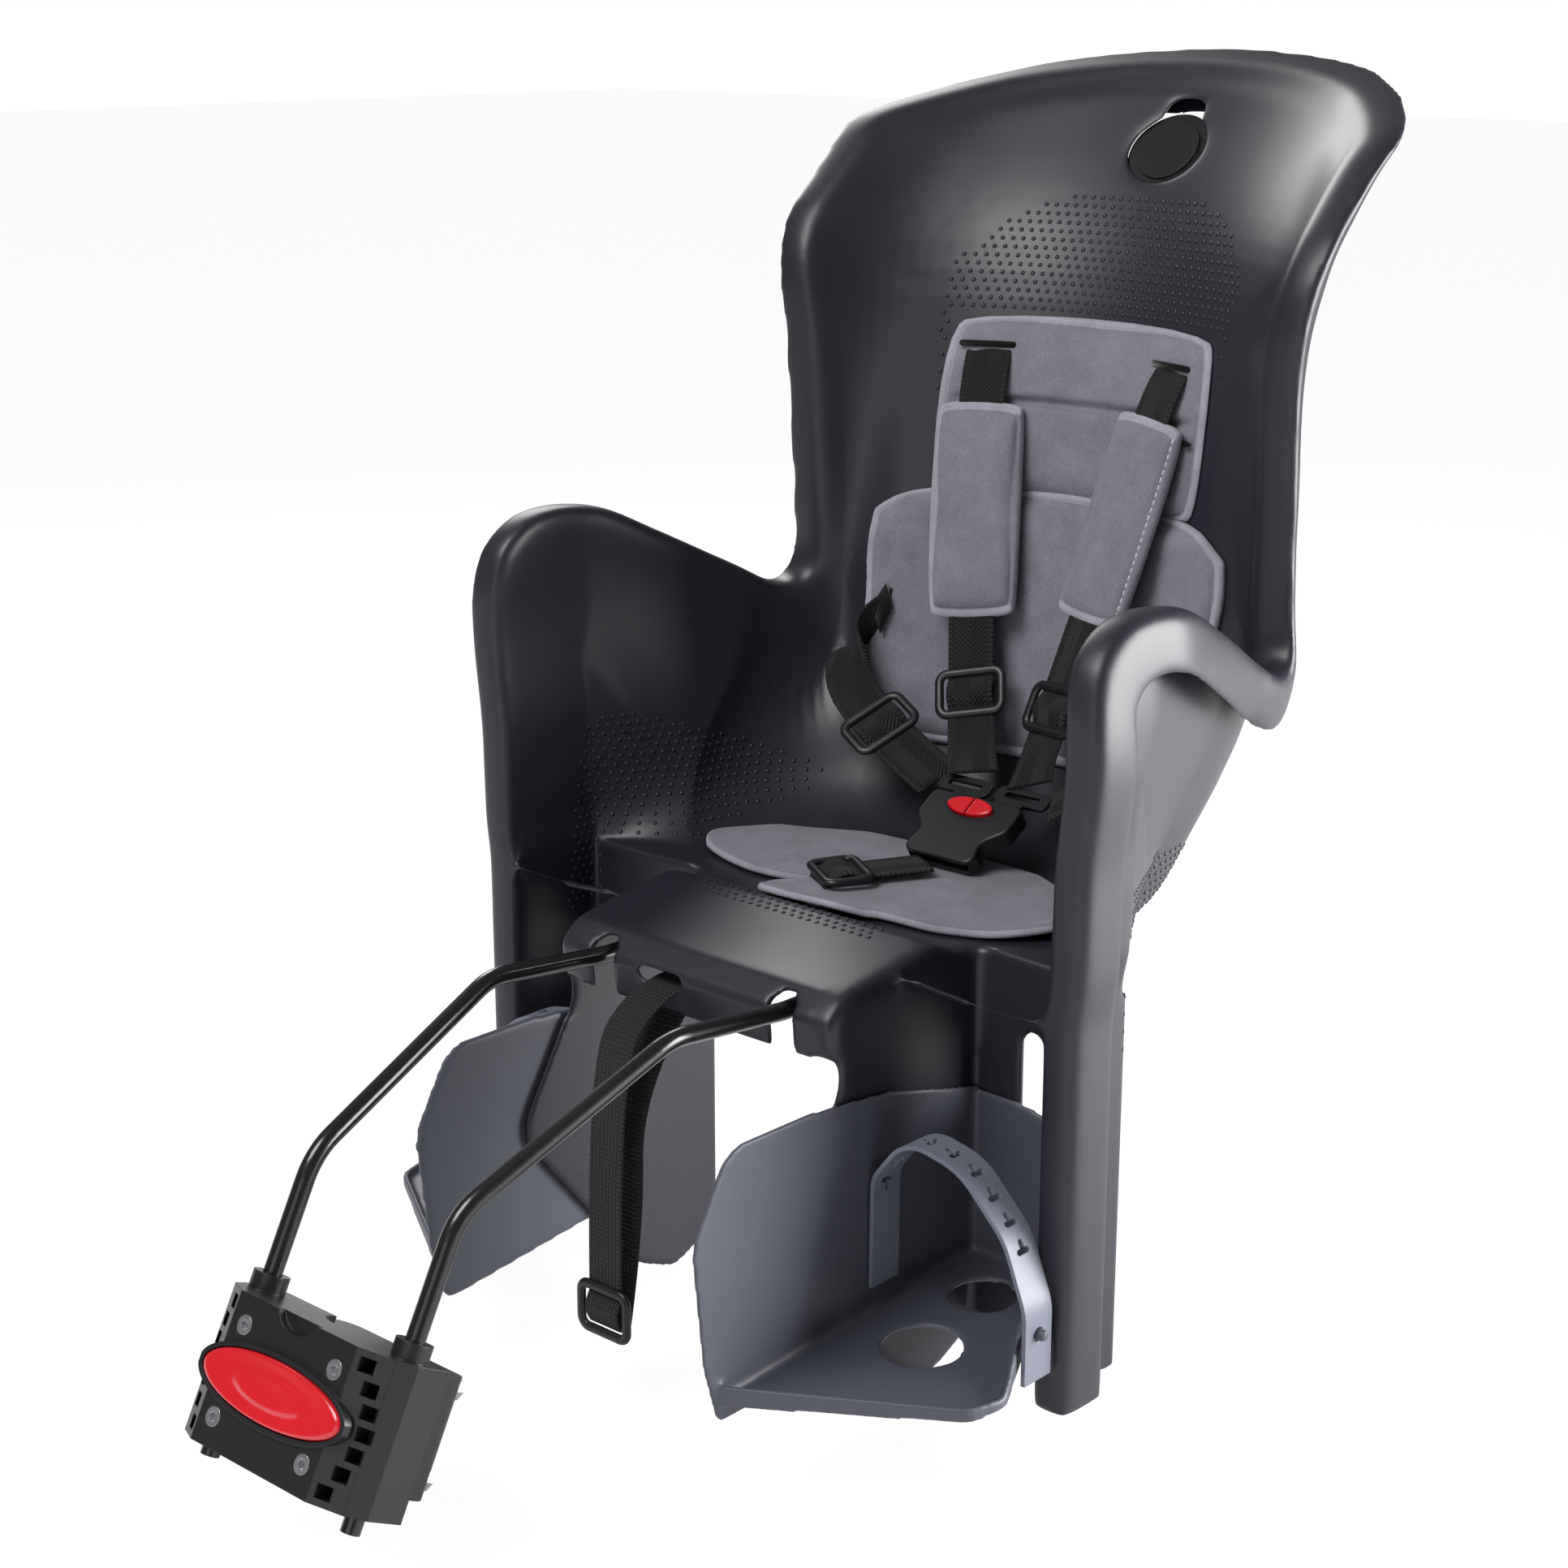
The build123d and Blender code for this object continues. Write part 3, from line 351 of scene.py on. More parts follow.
# Safety strap: polyester in a plain, close weave
SAFETY_WEBBING = Webbing(
    "plain_webbing_black", "#1a191b", 0.7, width_mm=25.0, pitch_mm=2.6, column_mm=1.3, selvedge_mm=1.6
)
# Sewing thread: pale polyester
STITCHING = Velour("polyester_thread_white", "#d9d7dc", 0.8, nap_mm=0.8, nap_rise_mm=0.05)


def linked(name: str, data: bpy.types.ID) -> bpy.types.Object:
    """Puts a new object with its data into the scene."""
    made = bpy.data.objects.new(name, data)
    bpy.context.scene.collection.objects.link(made)
    return made


def plain_mesh(name: str, points: Sequence[Vector], faces: Sequence[Face]) -> bpy.types.Mesh:
    """Makes a mesh from points in metres and each face's point numbers."""
    mesh = bpy.data.meshes.new(name)
    mesh.from_pydata([tuple(point) for point in points], [], faces)
    return mesh


def mesh_piece(
    name: str,
    points: Sequence[Vector],
    faces: Sequence[Face],
    finishes: Sequence[Finish],
    zones: Sequence[int] | None = None,
) -> bpy.types.Object:
    """Makes a smooth mesh object.

    Args:
        name: Object's name.
        points: Vertices in metres.
        faces: Vertex numbers of each face.
        finishes: Materials in slot order.
        zones: Each face's slot, all 0 if left out.

    Returns:
        The linked object.
    """
    mesh = plain_mesh(name, points, faces)
    for finish in finishes:
        mesh.materials.append(finish.material())
    mesh.polygons.foreach_set("use_smooth", [True] * len(mesh.polygons))
    if zones is not None:
        mesh.polygons.foreach_set("material_index", list(zones))
    mesh.update()
    return linked(name, mesh)


def tube_faces(rings: int, sides: int, first: int = 0, looped: bool = False) -> list[Face]:
    """Faces of a tube whose points are numbered ring by ring.

    Args:
        rings: Number of rings.
        sides: Points on one ring.
        first: Number of the first point.
        looped: Whether the last ring joins the first. If not, both ends are capped, the last one last.

    Returns:
        Each face's point numbers.
    """
    faces = []
    for ring in range(rings if looped else rings - 1):
        near, far = first + ring * sides, first + (ring + 1) % rings * sides
        for side in range(sides):
            other = (side + 1) % sides
            faces.append((near + side, near + other, far + other, far + side))
    if not looped:
        last = first + (rings - 1) * sides
        faces.append(tuple(range(first + sides - 1, first - 1, -1)))
        faces.append(tuple(range(last, last + sides)))
    return faces


def circle(sides: int) -> list[Point2]:
    """Cosine and sine of evenly spaced turns."""
    turns = [2 * math.pi * step / sides for step in range(sides)]
    return [(math.cos(turn), math.sin(turn)) for turn in turns]


def seat_on(piece: bpy.types.Object, body: Body, slot: Slot, *nodes: str) -> bpy.types.Object:
    """Fixes a piece to its body, and hides the nodes that it stands for."""
    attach(piece, body.value)
    if nodes:
        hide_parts(*nodes)
    log.info("piece %s on %s", piece.name, body.value)
    return piece


def spline_points(name: str, route: Sequence[Vector]) -> list[Vector]:
    """Reads points along a smooth line with the route's points as its control points.

    Args:
        name: Name for the passing curve.
        route: Control points in metres.

    Returns:
        Points along the line, close together.
    """
    curve = bpy.data.curves.new(name, "CURVE")
    curve.dimensions = "3D"
    spline = curve.splines.new("NURBS")
    spline.points.add(len(route) - 1)
    for knot, place in zip(spline.points, route):
        knot.co = (*place, 1.0)
    spline.order_u = 3
    spline.use_endpoint_u = True
    spline.resolution_u = 24
    holder = bpy.data.objects.new(name, curve)
    mesh = bpy.data.meshes.new_from_object(holder)
    points = [vertex.co.copy() for vertex in mesh.vertices]
    bpy.data.objects.remove(holder)
    bpy.data.curves.remove(curve)
    bpy.data.meshes.remove(mesh)
    return points


@dataclass
class BandLine:
    """The middle line of a band, with its breadth direction along the way."""

    points: list[Vector]
    breadths: list[Vector]

    def __post_init__(self) -> None:
        """Works out the run to each point."""
        self.runs = [0.0]
        for before, after in zip(self.points, self.points[1:]):
            self.runs.append(self.runs[-1] + (after - before).length)

    def frame_at(self, number: int) -> tuple[Vector, Vector, Vector]:
        """Point, breadth and outward normal at one point of the line."""
        ahead = self.points[min(number + 1, len(self.points) - 1)]
        behind = self.points[max(number - 1, 0)]
        along = (ahead - behind).normalized()
        share = self.runs[number] / self.runs[-1] * (len(self.breadths) - 1)
        first = min(int(share), len(self.breadths) - 2)
        wide = self.breadths[first].lerp(self.breadths[first + 1], share - first)
        wide = (wide - along * along.dot(wide)).normalized()
        return self.points[number], wide, wide.cross(along)

    def frame_along(self, run: float) -> tuple[Vector, Vector, Vector]:
        """Point, breadth and normal at a run in metres from the start."""
        run = min(max(run, 0.0), self.runs[-1])
        number = next(place for place, reach in enumerate(self.runs) if reach >= run)
        if number == 0:
            return self.frame_at(0)
        share = (run - self.runs[number - 1]) / max(self.runs[number] - self.runs[number - 1], 1e-9)
        early, late = self.frame_at(number - 1), self.frame_at(number)
        return tuple(a.lerp(b, share) for a, b in zip(early, late))


@dataclass(frozen=True)
class Band:
    """A woven band's breadth, thickness and finish."""

    width_mm: float
    thick_mm: float
    finish: Webbing

    # Half of the section, as shares of half the breadth and half the thickness; its edges are soft
    half_section = (
        (-1.0, 0.0), (-0.97, 0.75), (-0.86, 1.0), (-0.3, 0.9), (0.3, 0.9), (0.86, 1.0), (0.97, 0.75),
    )

    def build(self, name: str, line: BandLine) -> bpy.types.Object:
        """Sweeps the band along a line.

        Args:
            name: Piece's name.
            line: Middle line and breadth.

        Returns:
            The new piece, with run and breadth in metres as its weave map.
        """
        half, rise = self.width_mm * MM / 2, self.thick_mm * MM / 2
        section = [(way * x * half, way * y * rise) for way in (1, -1) for x, y in self.half_section]
        points, weave = [], []
        for number, run in enumerate(line.runs):
            middle, wide, out = line.frame_at(number)
            for offset, lift in section:
                points.append(middle + wide * offset + out * lift)
                weave.append((run, offset))
        piece = mesh_piece(name, points, tube_faces(len(line.points), len(section)), [self.finish])
        layer = piece.data.uv_layers.new(name="weave")
        for loop in piece.data.loops:
            layer.data[loop.index].uv = weave[loop.vertex_index]
        return piece


def rounded(outline: Sequence[Point2], passes: int = 2) -> list[Point2]:
    """Softens a closed outline's corners by cutting them repeatedly."""
    points = list(outline)
    for _ in range(passes):
        cut = []
        for (ax, ay), (bx, by) in zip(points, points[1:] + points[:1]):
            cut.append((ax * 0.75 + bx * 0.25, ay * 0.75 + by * 0.25))
            cut.append((ax * 0.25 + bx * 0.75, ay * 0.25 + by * 0.75))
        points = cut
    return points


def rounded_corners(outline: Sequence[Point2], radius: float) -> list[Point2]:
    """Adds two points near each corner, so that softening rounds only the corner.

    Args:
        outline: Closed outline.
        radius: How far from each corner the new points lie.

    Returns:
        The longer outline.
    """
    points = []
    for number, (x, y) in enumerate(outline):
        for other in (outline[number - 1], outline[(number + 1) % len(outline)]):
            reach = math.hypot(other[0] - x, other[1] - y)
            share = min(0.45, radius / reach)
            points.append((x + (other[0] - x) * share, y + (other[1] - y) * share))
    return points


def spaced(outline: Sequence[Point2], count: int, closed: bool = True) -> list[Point2]:
    """Spreads points evenly round a closed outline, or from end to end of an open line."""
    ring = list(outline) + [outline[0]] if closed else list(outline)
    gaps = count if closed else count - 1
    runs = [0.0]
    for (ax, ay), (bx, by) in zip(ring, ring[1:]):
        runs.append(runs[-1] + math.hypot(bx - ax, by - ay))
    places, number = [], 0
    for step in range(count):
        run = runs[-1] * step / gaps
        while number < len(runs) - 2 and runs[number + 1] < run:
            number += 1
        share = (run - runs[number]) / max(runs[number + 1] - runs[number], 1e-9)
        (ax, ay), (bx, by) = ring[number], ring[number + 1]
        places.append((ax + (bx - ax) * share, ay + (by - ay) * share))
    return places


def filleted(outline: Sequence[Point2], radii: Sequence[float], steps: int = 12) -> list[list[Point2]]:
    """Rounds the corners of an open line by arcs.

    Args:
        outline: Line's corners, first and last its ends.
        radii: Radius at each inner corner.
        steps: Points on one arc, less one.

    Returns:
        The arcs in order, each as its points.
    """
    arcs = []
    for before, corner, after, radius in zip(outline, outline[1:], outline[2:], radii):
        back, ahead = ((Vector(other) - Vector(corner)).normalized() for other in (before, after))
        half = back.angle(ahead) / 2
        middle = Vector(corner) + (back + ahead).normalized() * radius / math.sin(half)
        start = Vector(corner) + back * radius / math.tan(half) - middle
        stop = Vector(corner) + ahead * radius / math.tan(half) - middle
        arms = [start.lerp(stop, step / steps).normalized() * radius for step in range(steps + 1)]
        arcs.append([tuple(middle + arm) for arm in arms])
    return arcs


def eased(value: float, low: float, high: float) -> float:
    """Rises smoothly from 0 at low to 1 at high."""
    share = min(1.0, max(0.0, (value - low) / (high - low)))
    return share * share * (3.0 - 2.0 * share)


def inside(outline: Sequence[Point2], x: float, y: float) -> bool:
    """Whether a point lies in a closed outline."""
    found = False
    for (ax, ay), (bx, by) in zip(outline, list(outline[1:]) + [outline[0]]):
        if (ay > y) != (by > y) and x < (bx - ax) * (y - ay) / (by - ay) + ax:
            found = not found
    return found


@dataclass
class PaddedPanel:
    """A velour panel with a welded border, laid on a surface as rings from edge to middle."""

    name: str
    outline: Sequence[Point2]
    centre: Point2
    place: Place
    height: Rise
    border: Test
    under: float = 0.0
    spokes: int = 260
    middle_rings: int = 22

    # Insets of the rings near the edge, in mm
    edge_steps = (0.0, 0.5, 1.4, 2.8, 4.2, 5.2, 6.0, 7.0, 8.5, 10.5, 13.0, 16.0)
    sim_frames = 14

    def make(self, node: str, seam: Test, pressure: float, cap_mm: float) -> None:
        """Builds the panel in place of a node.

        Args:
            node: Node that it stands for.
            seam: Whether a point is held while the panel is filled.
            pressure: Inner pressure of the filling.
            cap_mm: Most that a point may move, in mm.
        """
        piece = self.build()
        self.swell(piece, seam, pressure, cap_mm)
        seat_on(piece, Body.SEAT, Slot.VELOUR, node)

    def lay_out(self) -> tuple[list[Point2], list[float]]:
        """Spreads the panel's flat points.

        Returns:
            Points ring by ring with the middle point last, and each point's inset in mm.
        """
        ring = spaced(rounded(self.outline), self.spokes)
        cx, cy = self.centre
        flat, insets = [], []
        for step in self.edge_steps:
            for x, y in ring:
                reach = math.hypot(cx - x, cy - y)
                flat.append((x + (cx - x) * step / reach, y + (cy - y) * step / reach))
                insets.append(step)
        inner = flat[-self.spokes:]
        for number in range(1, self.middle_rings):
            share = number / self.middle_rings
            for x, y in inner:
                reach = math.hypot(cx - x, cy - y)
                flat.append((x + (cx - x) * share, y + (cy - y) * share))
                insets.append(self.edge_steps[-1] + reach * share)
        flat.append(self.centre)
        insets.append(self.edge_steps[-1] * 4)
        return flat, insets

    def build(self) -> bpy.types.Object:
        """Builds the closed panel.

        Returns:
            The piece; its first vertices are the upper side in ring order.
        """
        flat, insets = self.lay_out()
        tops, unders = [], []
        for (x, y), inset in zip(flat, insets):
            base, out = self.place(x, y)
            tops.append(base + out * self.height(x, y, inset) * MM)
            unders.append(base - out * self.under * MM)
        total, spokes = len(flat), self.spokes
        rings = (total - 1) // spokes
        faces, zones = [], []
        for ring in range(rings):
            for spoke in range(spokes):
                a, b = ring * spokes + spoke, ring * spokes + (spoke + 1) % spokes
                face = (a, b, total - 1) if ring == rings - 1 else (a, b, b + spokes, a + spokes)
                x, y = (sum(flat[corner][axis] for corner in face) / len(face) for axis in (0, 1))
                faces += [face, tuple(corner + total for corner in reversed(face))]
                zones += [int(self.border(x, y, insets[a]))] * 2
        for spoke in range(spokes):
            after = (spoke + 1) % spokes
            faces.append((spoke + total, after + total, after, spoke))
            zones.append(1)
        return mesh_piece(self.name, tops + unders, faces, [VELOUR, WELDED_EDGE], zones)

    def swell(self, piece: bpy.types.Object, seam: Test, pressure: float, cap_mm: float) -> None:
        """Swells the cover by a short cloth simulation, with seams and underside held.

        Args:
            piece: The built panel.
            seam: Whether a point of the upper side is held.
            pressure: Inner pressure.
            cap_mm: Most that a point may move, in mm.
        """
        flat, insets = self.lay_out()
        held = [number for number, (x, y) in enumerate(flat) if seam(x, y, insets[number])]
        held += range(len(flat), 2 * len(flat))
        group = piece.vertex_groups.new(name="held")
        group.add(held, 1.0, "REPLACE")
        modifier = piece.modifiers.new("fill", "CLOTH")
        cloth = {
            "quality": 4, "mass": 0.2, "tension_stiffness": 12.0, "compression_stiffness": 8.0,
            "bending_stiffness": 0.6, "use_pressure": True, "uniform_pressure_force": pressure,
            "vertex_group_mass": group.name,
        }
        for name, value in cloth.items():
            setattr(modifier.settings, name, value)
        modifier.settings.effector_weights.gravity = 0.0
        scene = bpy.context.scene
        for number in range(1, self.sim_frames + 1):
            scene.frame_set(number)
        grown = piece.evaluated_get(bpy.context.evaluated_depsgraph_get()).to_mesh()
        places = [vertex.co.copy() for vertex in grown.vertices]
        piece.modifiers.remove(modifier)
        scene.frame_set(1)
        for vertex, place in zip(piece.data.vertices, places):
            move = place - vertex.co
            if move.length > cap_mm * MM:
                move *= cap_mm * MM / move.length
            vertex.co += move
        piece.vertex_groups.remove(group)
        piece.data.update()


class ShellProbe:
    """Finds the shell's surface, so that dressings lie on it."""

    ray_reach = 0.8
    # Other heights to try, in mm, where a ray goes through a slot
    past_slot = (0.0, 8.0, -8.0, 14.0, -14.0)

    def __init__(self, node: bpy.types.Object) -> None:
        """Prepares the search on a node's mesh."""
        mesh = node.data
        self.tree = BVHTree.FromPolygons(
            [vertex.co for vertex in mesh.vertices], [tuple(face.vertices) for face in mesh.polygons]
        )

    def hit(self, start: Vector, way: Vector) -> Spot | None:
        """Point and outward normal where a ray meets the shell, or None."""
        point, normal, _, _ = self.tree.ray_cast(start, way, self.ray_reach)
        if point is None:
            return None
        return point, normal if normal.dot(way) < 0 else -normal

    def backrest(self, x: float, height: float) -> Spot:
        """Point and normal of the backrest's front, seen from ahead, past any slot in it."""
        for shift in self.past_slot:
            found = self.hit(seat_point(x, 40.0, height + shift), BACKWARD)
            if found is not None:
                point, normal = found
                return Vector((point.x, point.y, seat_point(x, 0.0, height).z)), normal
        raise ValueError(f"no backrest at {x:.0f}, {height:.0f}")


def bake(piece: bpy.types.Object) -> None:
    """Turns a piece's modifiers into its mesh."""
    graph = bpy.context.evaluated_depsgraph_get()
    made = bpy.data.meshes.new_from_object(piece.evaluated_get(graph))
    piece.modifiers.clear()
    piece.data = made


def prism(name: str, ends: Point2, section: Sequence[Point2]) -> bpy.types.Object:
    """Makes a straight block from a section in side view, as a cutting tool.

    Args:
        name: Block's name.
        ends: Its two ends along x, in seat coordinates.
        section: Corners as y and height in seat coordinates.

    Returns:
        The linked block.
    """
    points = [seat_point(x, y, height) for x in ends for y, height in reversed(section)]
    return linked(name, plain_mesh(name, points, tube_faces(2, len(section))))


@dataclass
class SoftMoulding:
    """A moulding with the tool's rounded edges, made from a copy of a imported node."""

    node: str
    voxel_mm: float
    passes: int
    most_triangles: int = 180000

    settle_passes = 2

    def build(
        self,
        finish: Finish,
        weight: Callable[[Vector], float],
        form: Callable[[Vector], Vector] | None = None,
        cutters: Sequence[bpy.types.Object] = (),
    ) -> bpy.types.Object:
        """Evens out the copy's mesh, shapes it, then smooths it where the weight says.

        Args:
            finish: Material of the moulding.
            weight: How much a point in seat coordinates is rounded, 0 to 1.
            form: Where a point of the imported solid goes, both in seat coordinates.
            cutters: Blocks to take away first; they are used up.

        Returns:
            The new piece, not yet on a body.
        """
        piece = linked(f"{self.node}_moulding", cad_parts[self.node].data.copy())
        even = piece.modifiers.new("even", "REMESH")
        even.mode = "VOXEL"
        even.voxel_size = self.voxel_mm * MM
        for cutter in cutters:
            cut = piece.modifiers.new(cutter.name, "BOOLEAN")
            cut.solver = "MANIFOLD"
            cut.operation = "DIFFERENCE"
            cut.object = cutter
        bake(piece)
        for cutter in cutters:
            bpy.data.meshes.remove(cutter.data)
        group = piece.vertex_groups.new(name="rounded")
        for vertex in piece.data.vertices:
            if form is not None:
                vertex.co = seat_point(*form(vertex.co / MM - SEAT_DATUM))
            share = weight(vertex.co / MM - SEAT_DATUM)
            if share > 0.0:
                group.add([vertex.index], share, "REPLACE")
        rounding = piece.modifiers.new("rounding", "SMOOTH")
        rounding.iterations = self.passes
        rounding.vertex_group = group.name
        settle = piece.modifiers.new("settle", "SMOOTH")
        settle.iterations = self.settle_passes
        triangles = 2 * len(piece.data.polygons)
        if triangles > self.most_triangles:
            thin = piece.modifiers.new("thin", "DECIMATE")
            thin.ratio = self.most_triangles / triangles
        bake(piece)
        piece.vertex_groups.clear()
        mesh = piece.data
        mesh.materials.clear()
        mesh.materials.append(finish.material())
        mesh.polygons.foreach_set("material_index", [0] * len(mesh.polygons))
        mesh.polygons.foreach_set("use_smooth", [True] * len(mesh.polygons))
        mesh.update()
        return piece


class RimForm:
    """The rim's line in side view and the bucket's breadth, as the photograph shows them.

    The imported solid's wings are lower and its dip lies further forward, so the copy of the
    shell is drawn over to the line seen. Lines are y and height in seat coordinates.
    """

    packed = ((-50, -260), (-50, 226), (165, 120), (176, 352), (250, 425), (430, 486), (430, -260))
    packed_bends = (45.0, 35.0, 60.0, 40.0, 0.1)
    seen = (
        (-50, -260), (-50, 206), (36, 203), (188, 126), (175, 352), (250, 421), (430, 477), (430, -260),
    )
    seen_bends = (45.0, 90.0, 16.0, 75.0, 80.0, 0.1)
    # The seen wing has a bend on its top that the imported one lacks
    seen_extra = (1,)
    # Factor on the breadth by height
    breadth = (
        (0, 1.0), (24, 1.015), (70, 1.018), (142, 1.045), (220, 1.018), (298, 1.008), (365, 1.004),
        (420, 0.985), (480, 0.94),
    )
    span_points = 90
    neighbours = 8
    # Where the sides and the head begin, and how far from the rim each is drawn over, in mm
    side_from = (110.0, 150.0)
    head_from = (380.0, 410.0)
    side_fade = (38.0, 110.0)
    head_fade = (4.0, 20.0)

    def __init__(self) -> None:
        """Pairs points of both lines, from corner to corner."""
        spans_packed = self.spans(self.packed[0], filleted(self.packed, self.packed_bends))
        spans_seen = self.spans(self.seen[0], filleted(self.seen, self.seen_bends), self.seen_extra)
        line, start = [], []
        for before, after in zip(spans_packed, spans_seen):
            start += spaced(before, self.span_points, False)
            line += spaced(after, self.span_points, False)
        self.moves = [Vector((0.0, b[0] - a[0], b[1] - a[1])) for a, b in zip(start, line)]
        self.from_packed = self.near(start)
        self.from_seen = self.near(line)

    @staticmethod
    def spans(
        start: Point2, arcs: Sequence[Sequence[Point2]], whole: Sequence[int] = ()
    ) -> list[list[Point2]]:
        """Cuts a line at the middles of its arcs.

        Args:
            start: Line's first end.
            arcs: Its arcs in order.
            whole: Numbers of arcs that aren't cut.

        Returns:
            The stretches in order, up to the last arc's middle.
        """
        spans, span = [], [start]
        for number, arc in enumerate(arcs):
            if number in whole:
                span += arc
                continue
            middle = len(arc) // 2
            spans.append([*span, *arc[: middle + 1]])
            span = list(arc[middle:])
        return spans

    @staticmethod
    def near(line: Sequence[Point2]) -> KDTree:
        """Prepares the search for a line's nearest points."""
        tree = KDTree(len(line))
        for number, (y, height) in enumerate(line):
            tree.insert((y, height, 0.0), number)
        tree.balance()
        return tree

    def widen(self, height: float) -> float:
        """The bucket's breadth at a height, as a factor."""
        for (low, first), (high, second) in zip(self.breadth, self.breadth[1:]):
            if height <= high:
                return first + (second - first) * eased(height, low, high)
        return self.breadth[-1][1]

    def moved(self, place: Vector) -> Vector:
        """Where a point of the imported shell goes, in seat coordinates."""
        side = eased(abs(place.x), *self.side_from)
        head = eased(place.z, *self.head_from)
        if side + head == 0.0:
            return place
        found = self.from_packed.find_n((place.y, place.z, 0.0), self.neighbours)
        shift = sum((self.moves[number] for _, number, _ in found), Vector()) / len(found)
        wide = 1.0 - eased(found[0][2], *self.side_fade)
        # The keyhole keeps its place, close under the head's rim
        narrow = 1.0 - eased(found[0][2], *self.head_fade)
        goal = place + shift * (side * wide * (1.0 - head) + narrow * head)
        goal.x *= 1.0 + (self.widen(place.z) - 1.0) * side
        return goal


@dataclass
class Mouldings:
    """The seat shell and the footrest trays with rolled and rounded edges."""

    rim_mm: float = 42.0
    fade_mm: float = 24.0
    nose_corner: float = 100.0
    nose_reach: float = 14.0
    nose_round: float = 0.6

    # Sections in side view of the window behind the keyhole and of the leg channels' front ends
    window = ((340, 414), (384, 414), (412, 457), (369, 457))
    channel = ((-54, -7), (-42, -7), (-42, 3), (-54, 3))

    def build(self) -> bpy.types.Object:
        """Builds shell and trays.

        Returns:
            The shell, for what lies on it.
        """
        self.rim = RimForm()
        cutters = [prism("keyhole_window", (-17, 17), self.window)]
        for way in (-1, 1):
            cutters.append(prism(f"channel_{way}", (way * 150 - 43, way * 150 + 39), self.channel))
        shell = SoftMoulding("seat_shell", 2.1, 90).build(
            SHELL_PLASTIC, self.shell_weight, self.rim.moved, cutters
        )
        seat_on(shell, Body.SEAT, Slot.SHELL, "seat_shell")
        for side, body in (("left", Body.FOOT_LEFT), ("right", Body.FOOT_RIGHT)):
            tray = SoftMoulding(f"footrest_{side}", 1.7, 4, 90000).build(FOOT_PLASTIC, lambda place: 1.0)
            seat_on(tray, body, Slot.FOOT, f"footrest_{side}")
        return shell

    def shell_weight(self, place: Vector) -> float:
        """How much the shell is rounded at a point: its rolled rim and the nose's two ends."""
        on_nose = place.y < 30.0 and place.z > -60.0
        if on_nose and abs(abs(place.x) - self.nose_corner) < self.nose_reach:
            return self.nose_round
        if abs(place.x) < 150.0 and place.z < 380.0:
            return 0.0
        reach = self.rim.from_seen.find((place.y, place.z, 0.0))[2]
        return 1.0 - eased(reach, self.rim_mm, self.rim_mm + self.fade_mm)


@dataclass
class Studio:
    """Pale floor, soft lamps and the camera at the photograph's place."""

    target_mm: Point3 = (0.0, 323.0, 246.0)
    azimuth: float = 42.2
    elevation: float = 16.0
    distance_mm: float = 1530.0
    lens: float = 64.29
    floor_mm: float = -84.0
    floor_reach: float = 14.0
    floor_glow: float = 1.08
    glow_share: float = 0.86

    # Name, place in metres, size in metres and power in watts
    lamps = (
        ("key_softbox", (-0.3, -1.3, 2.5), 1.6, 62.0),
        ("side_softbox", (1.7, 1.7, 0.45), 1.7, 120.0),
        ("rim_softbox", (-1.7, 1.5, 1.5), 1.2, 22.0),
        ("front_fill", (0.6, -2.1, 0.5), 1.6, 7.0),
    )
    white = (1.0, 1.0, 1.0, 1.0)

    def build(self) -> None:
        """Sets camera, world, floor and lamps."""
        scene = bpy.context.scene
        scene.view_settings.view_transform = "Standard"
        turn, rise = math.radians(self.azimuth), math.radians(self.elevation)
        back = Vector((math.cos(rise) * math.sin(turn), -math.cos(rise) * math.cos(turn), math.sin(rise)))
        data = bpy.data.cameras.new("studio_camera")
        data.lens = self.lens
        data.sensor_width = 36.0
        data.clip_end = 50.0
        scene.camera = self.aimed(data, (Vector(self.target_mm) + back * self.distance_mm) * MM)
        self.light_world(scene)
        self.lay_floor()
        for name, place, size, power in self.lamps:
            lamp = bpy.data.lights.new(name, "AREA")
            lamp.shape = "DISK"
            lamp.size = size
            lamp.energy = power
            self.aimed(lamp, Vector(place))

    def aimed(self, data: bpy.types.ID, place: Vector) -> bpy.types.Object:
        """Sets up a camera or lamp that faces the seat."""
        made = linked(data.name, data)
        made.location = place
        made.rotation_euler = (Vector(self.target_mm) * MM - place).to_track_quat("-Z", "Y").to_euler()
        return made

    def light_world(self, scene: bpy.types.Scene) -> None:
        """A white surround for the eye, and a dimmer one as fill light."""
        scene.world = bpy.data.worlds.new("studio_surround")
        graph = Graph.of(scene.world)
        path = graph.add("LightPath").outputs
        seen = graph.math("MAXIMUM", path["Is Camera Ray"], path["Is Transmission Ray"])
        light = graph.add("Background", {"Color": self.white, "Strength": graph.span(seen, 0.2, 1.0)})
        graph.add("OutputWorld", {"Surface": light.outputs[0]})

    def lay_floor(self) -> None:
        """A wide pale floor that shows white and keeps the seat's shadow."""
        made = bpy.data.materials.new("studio_floor")
        graph = Graph.of(made)
        path = graph.add("LightPath").outputs
        matt = graph.add("BsdfDiffuse", {"Color": (0.86, 0.86, 0.87, 1.0)})
        glow = graph.add("Emission", {"Color": self.white, "Strength": self.floor_glow})
        seen = graph.math("MULTIPLY", path["Is Camera Ray"], self.glow_share)
        mix = graph.add("MixShader", {0: seen, 1: matt.outputs[0], 2: glow.outputs[0]})
        graph.add("OutputMaterial", {"Surface": mix.outputs[0]})
        reach, level = self.floor_reach, self.floor_mm * MM
        square = ((-reach, -reach), (reach, -reach), (reach, reach), (-reach, reach))
        corners = [(x, y, level) for x, y in square]
        mesh = plain_mesh("studio_floor", corners, [(0, 1, 2, 3)])
        mesh.materials.append(made)
        linked("studio_floor", mesh)


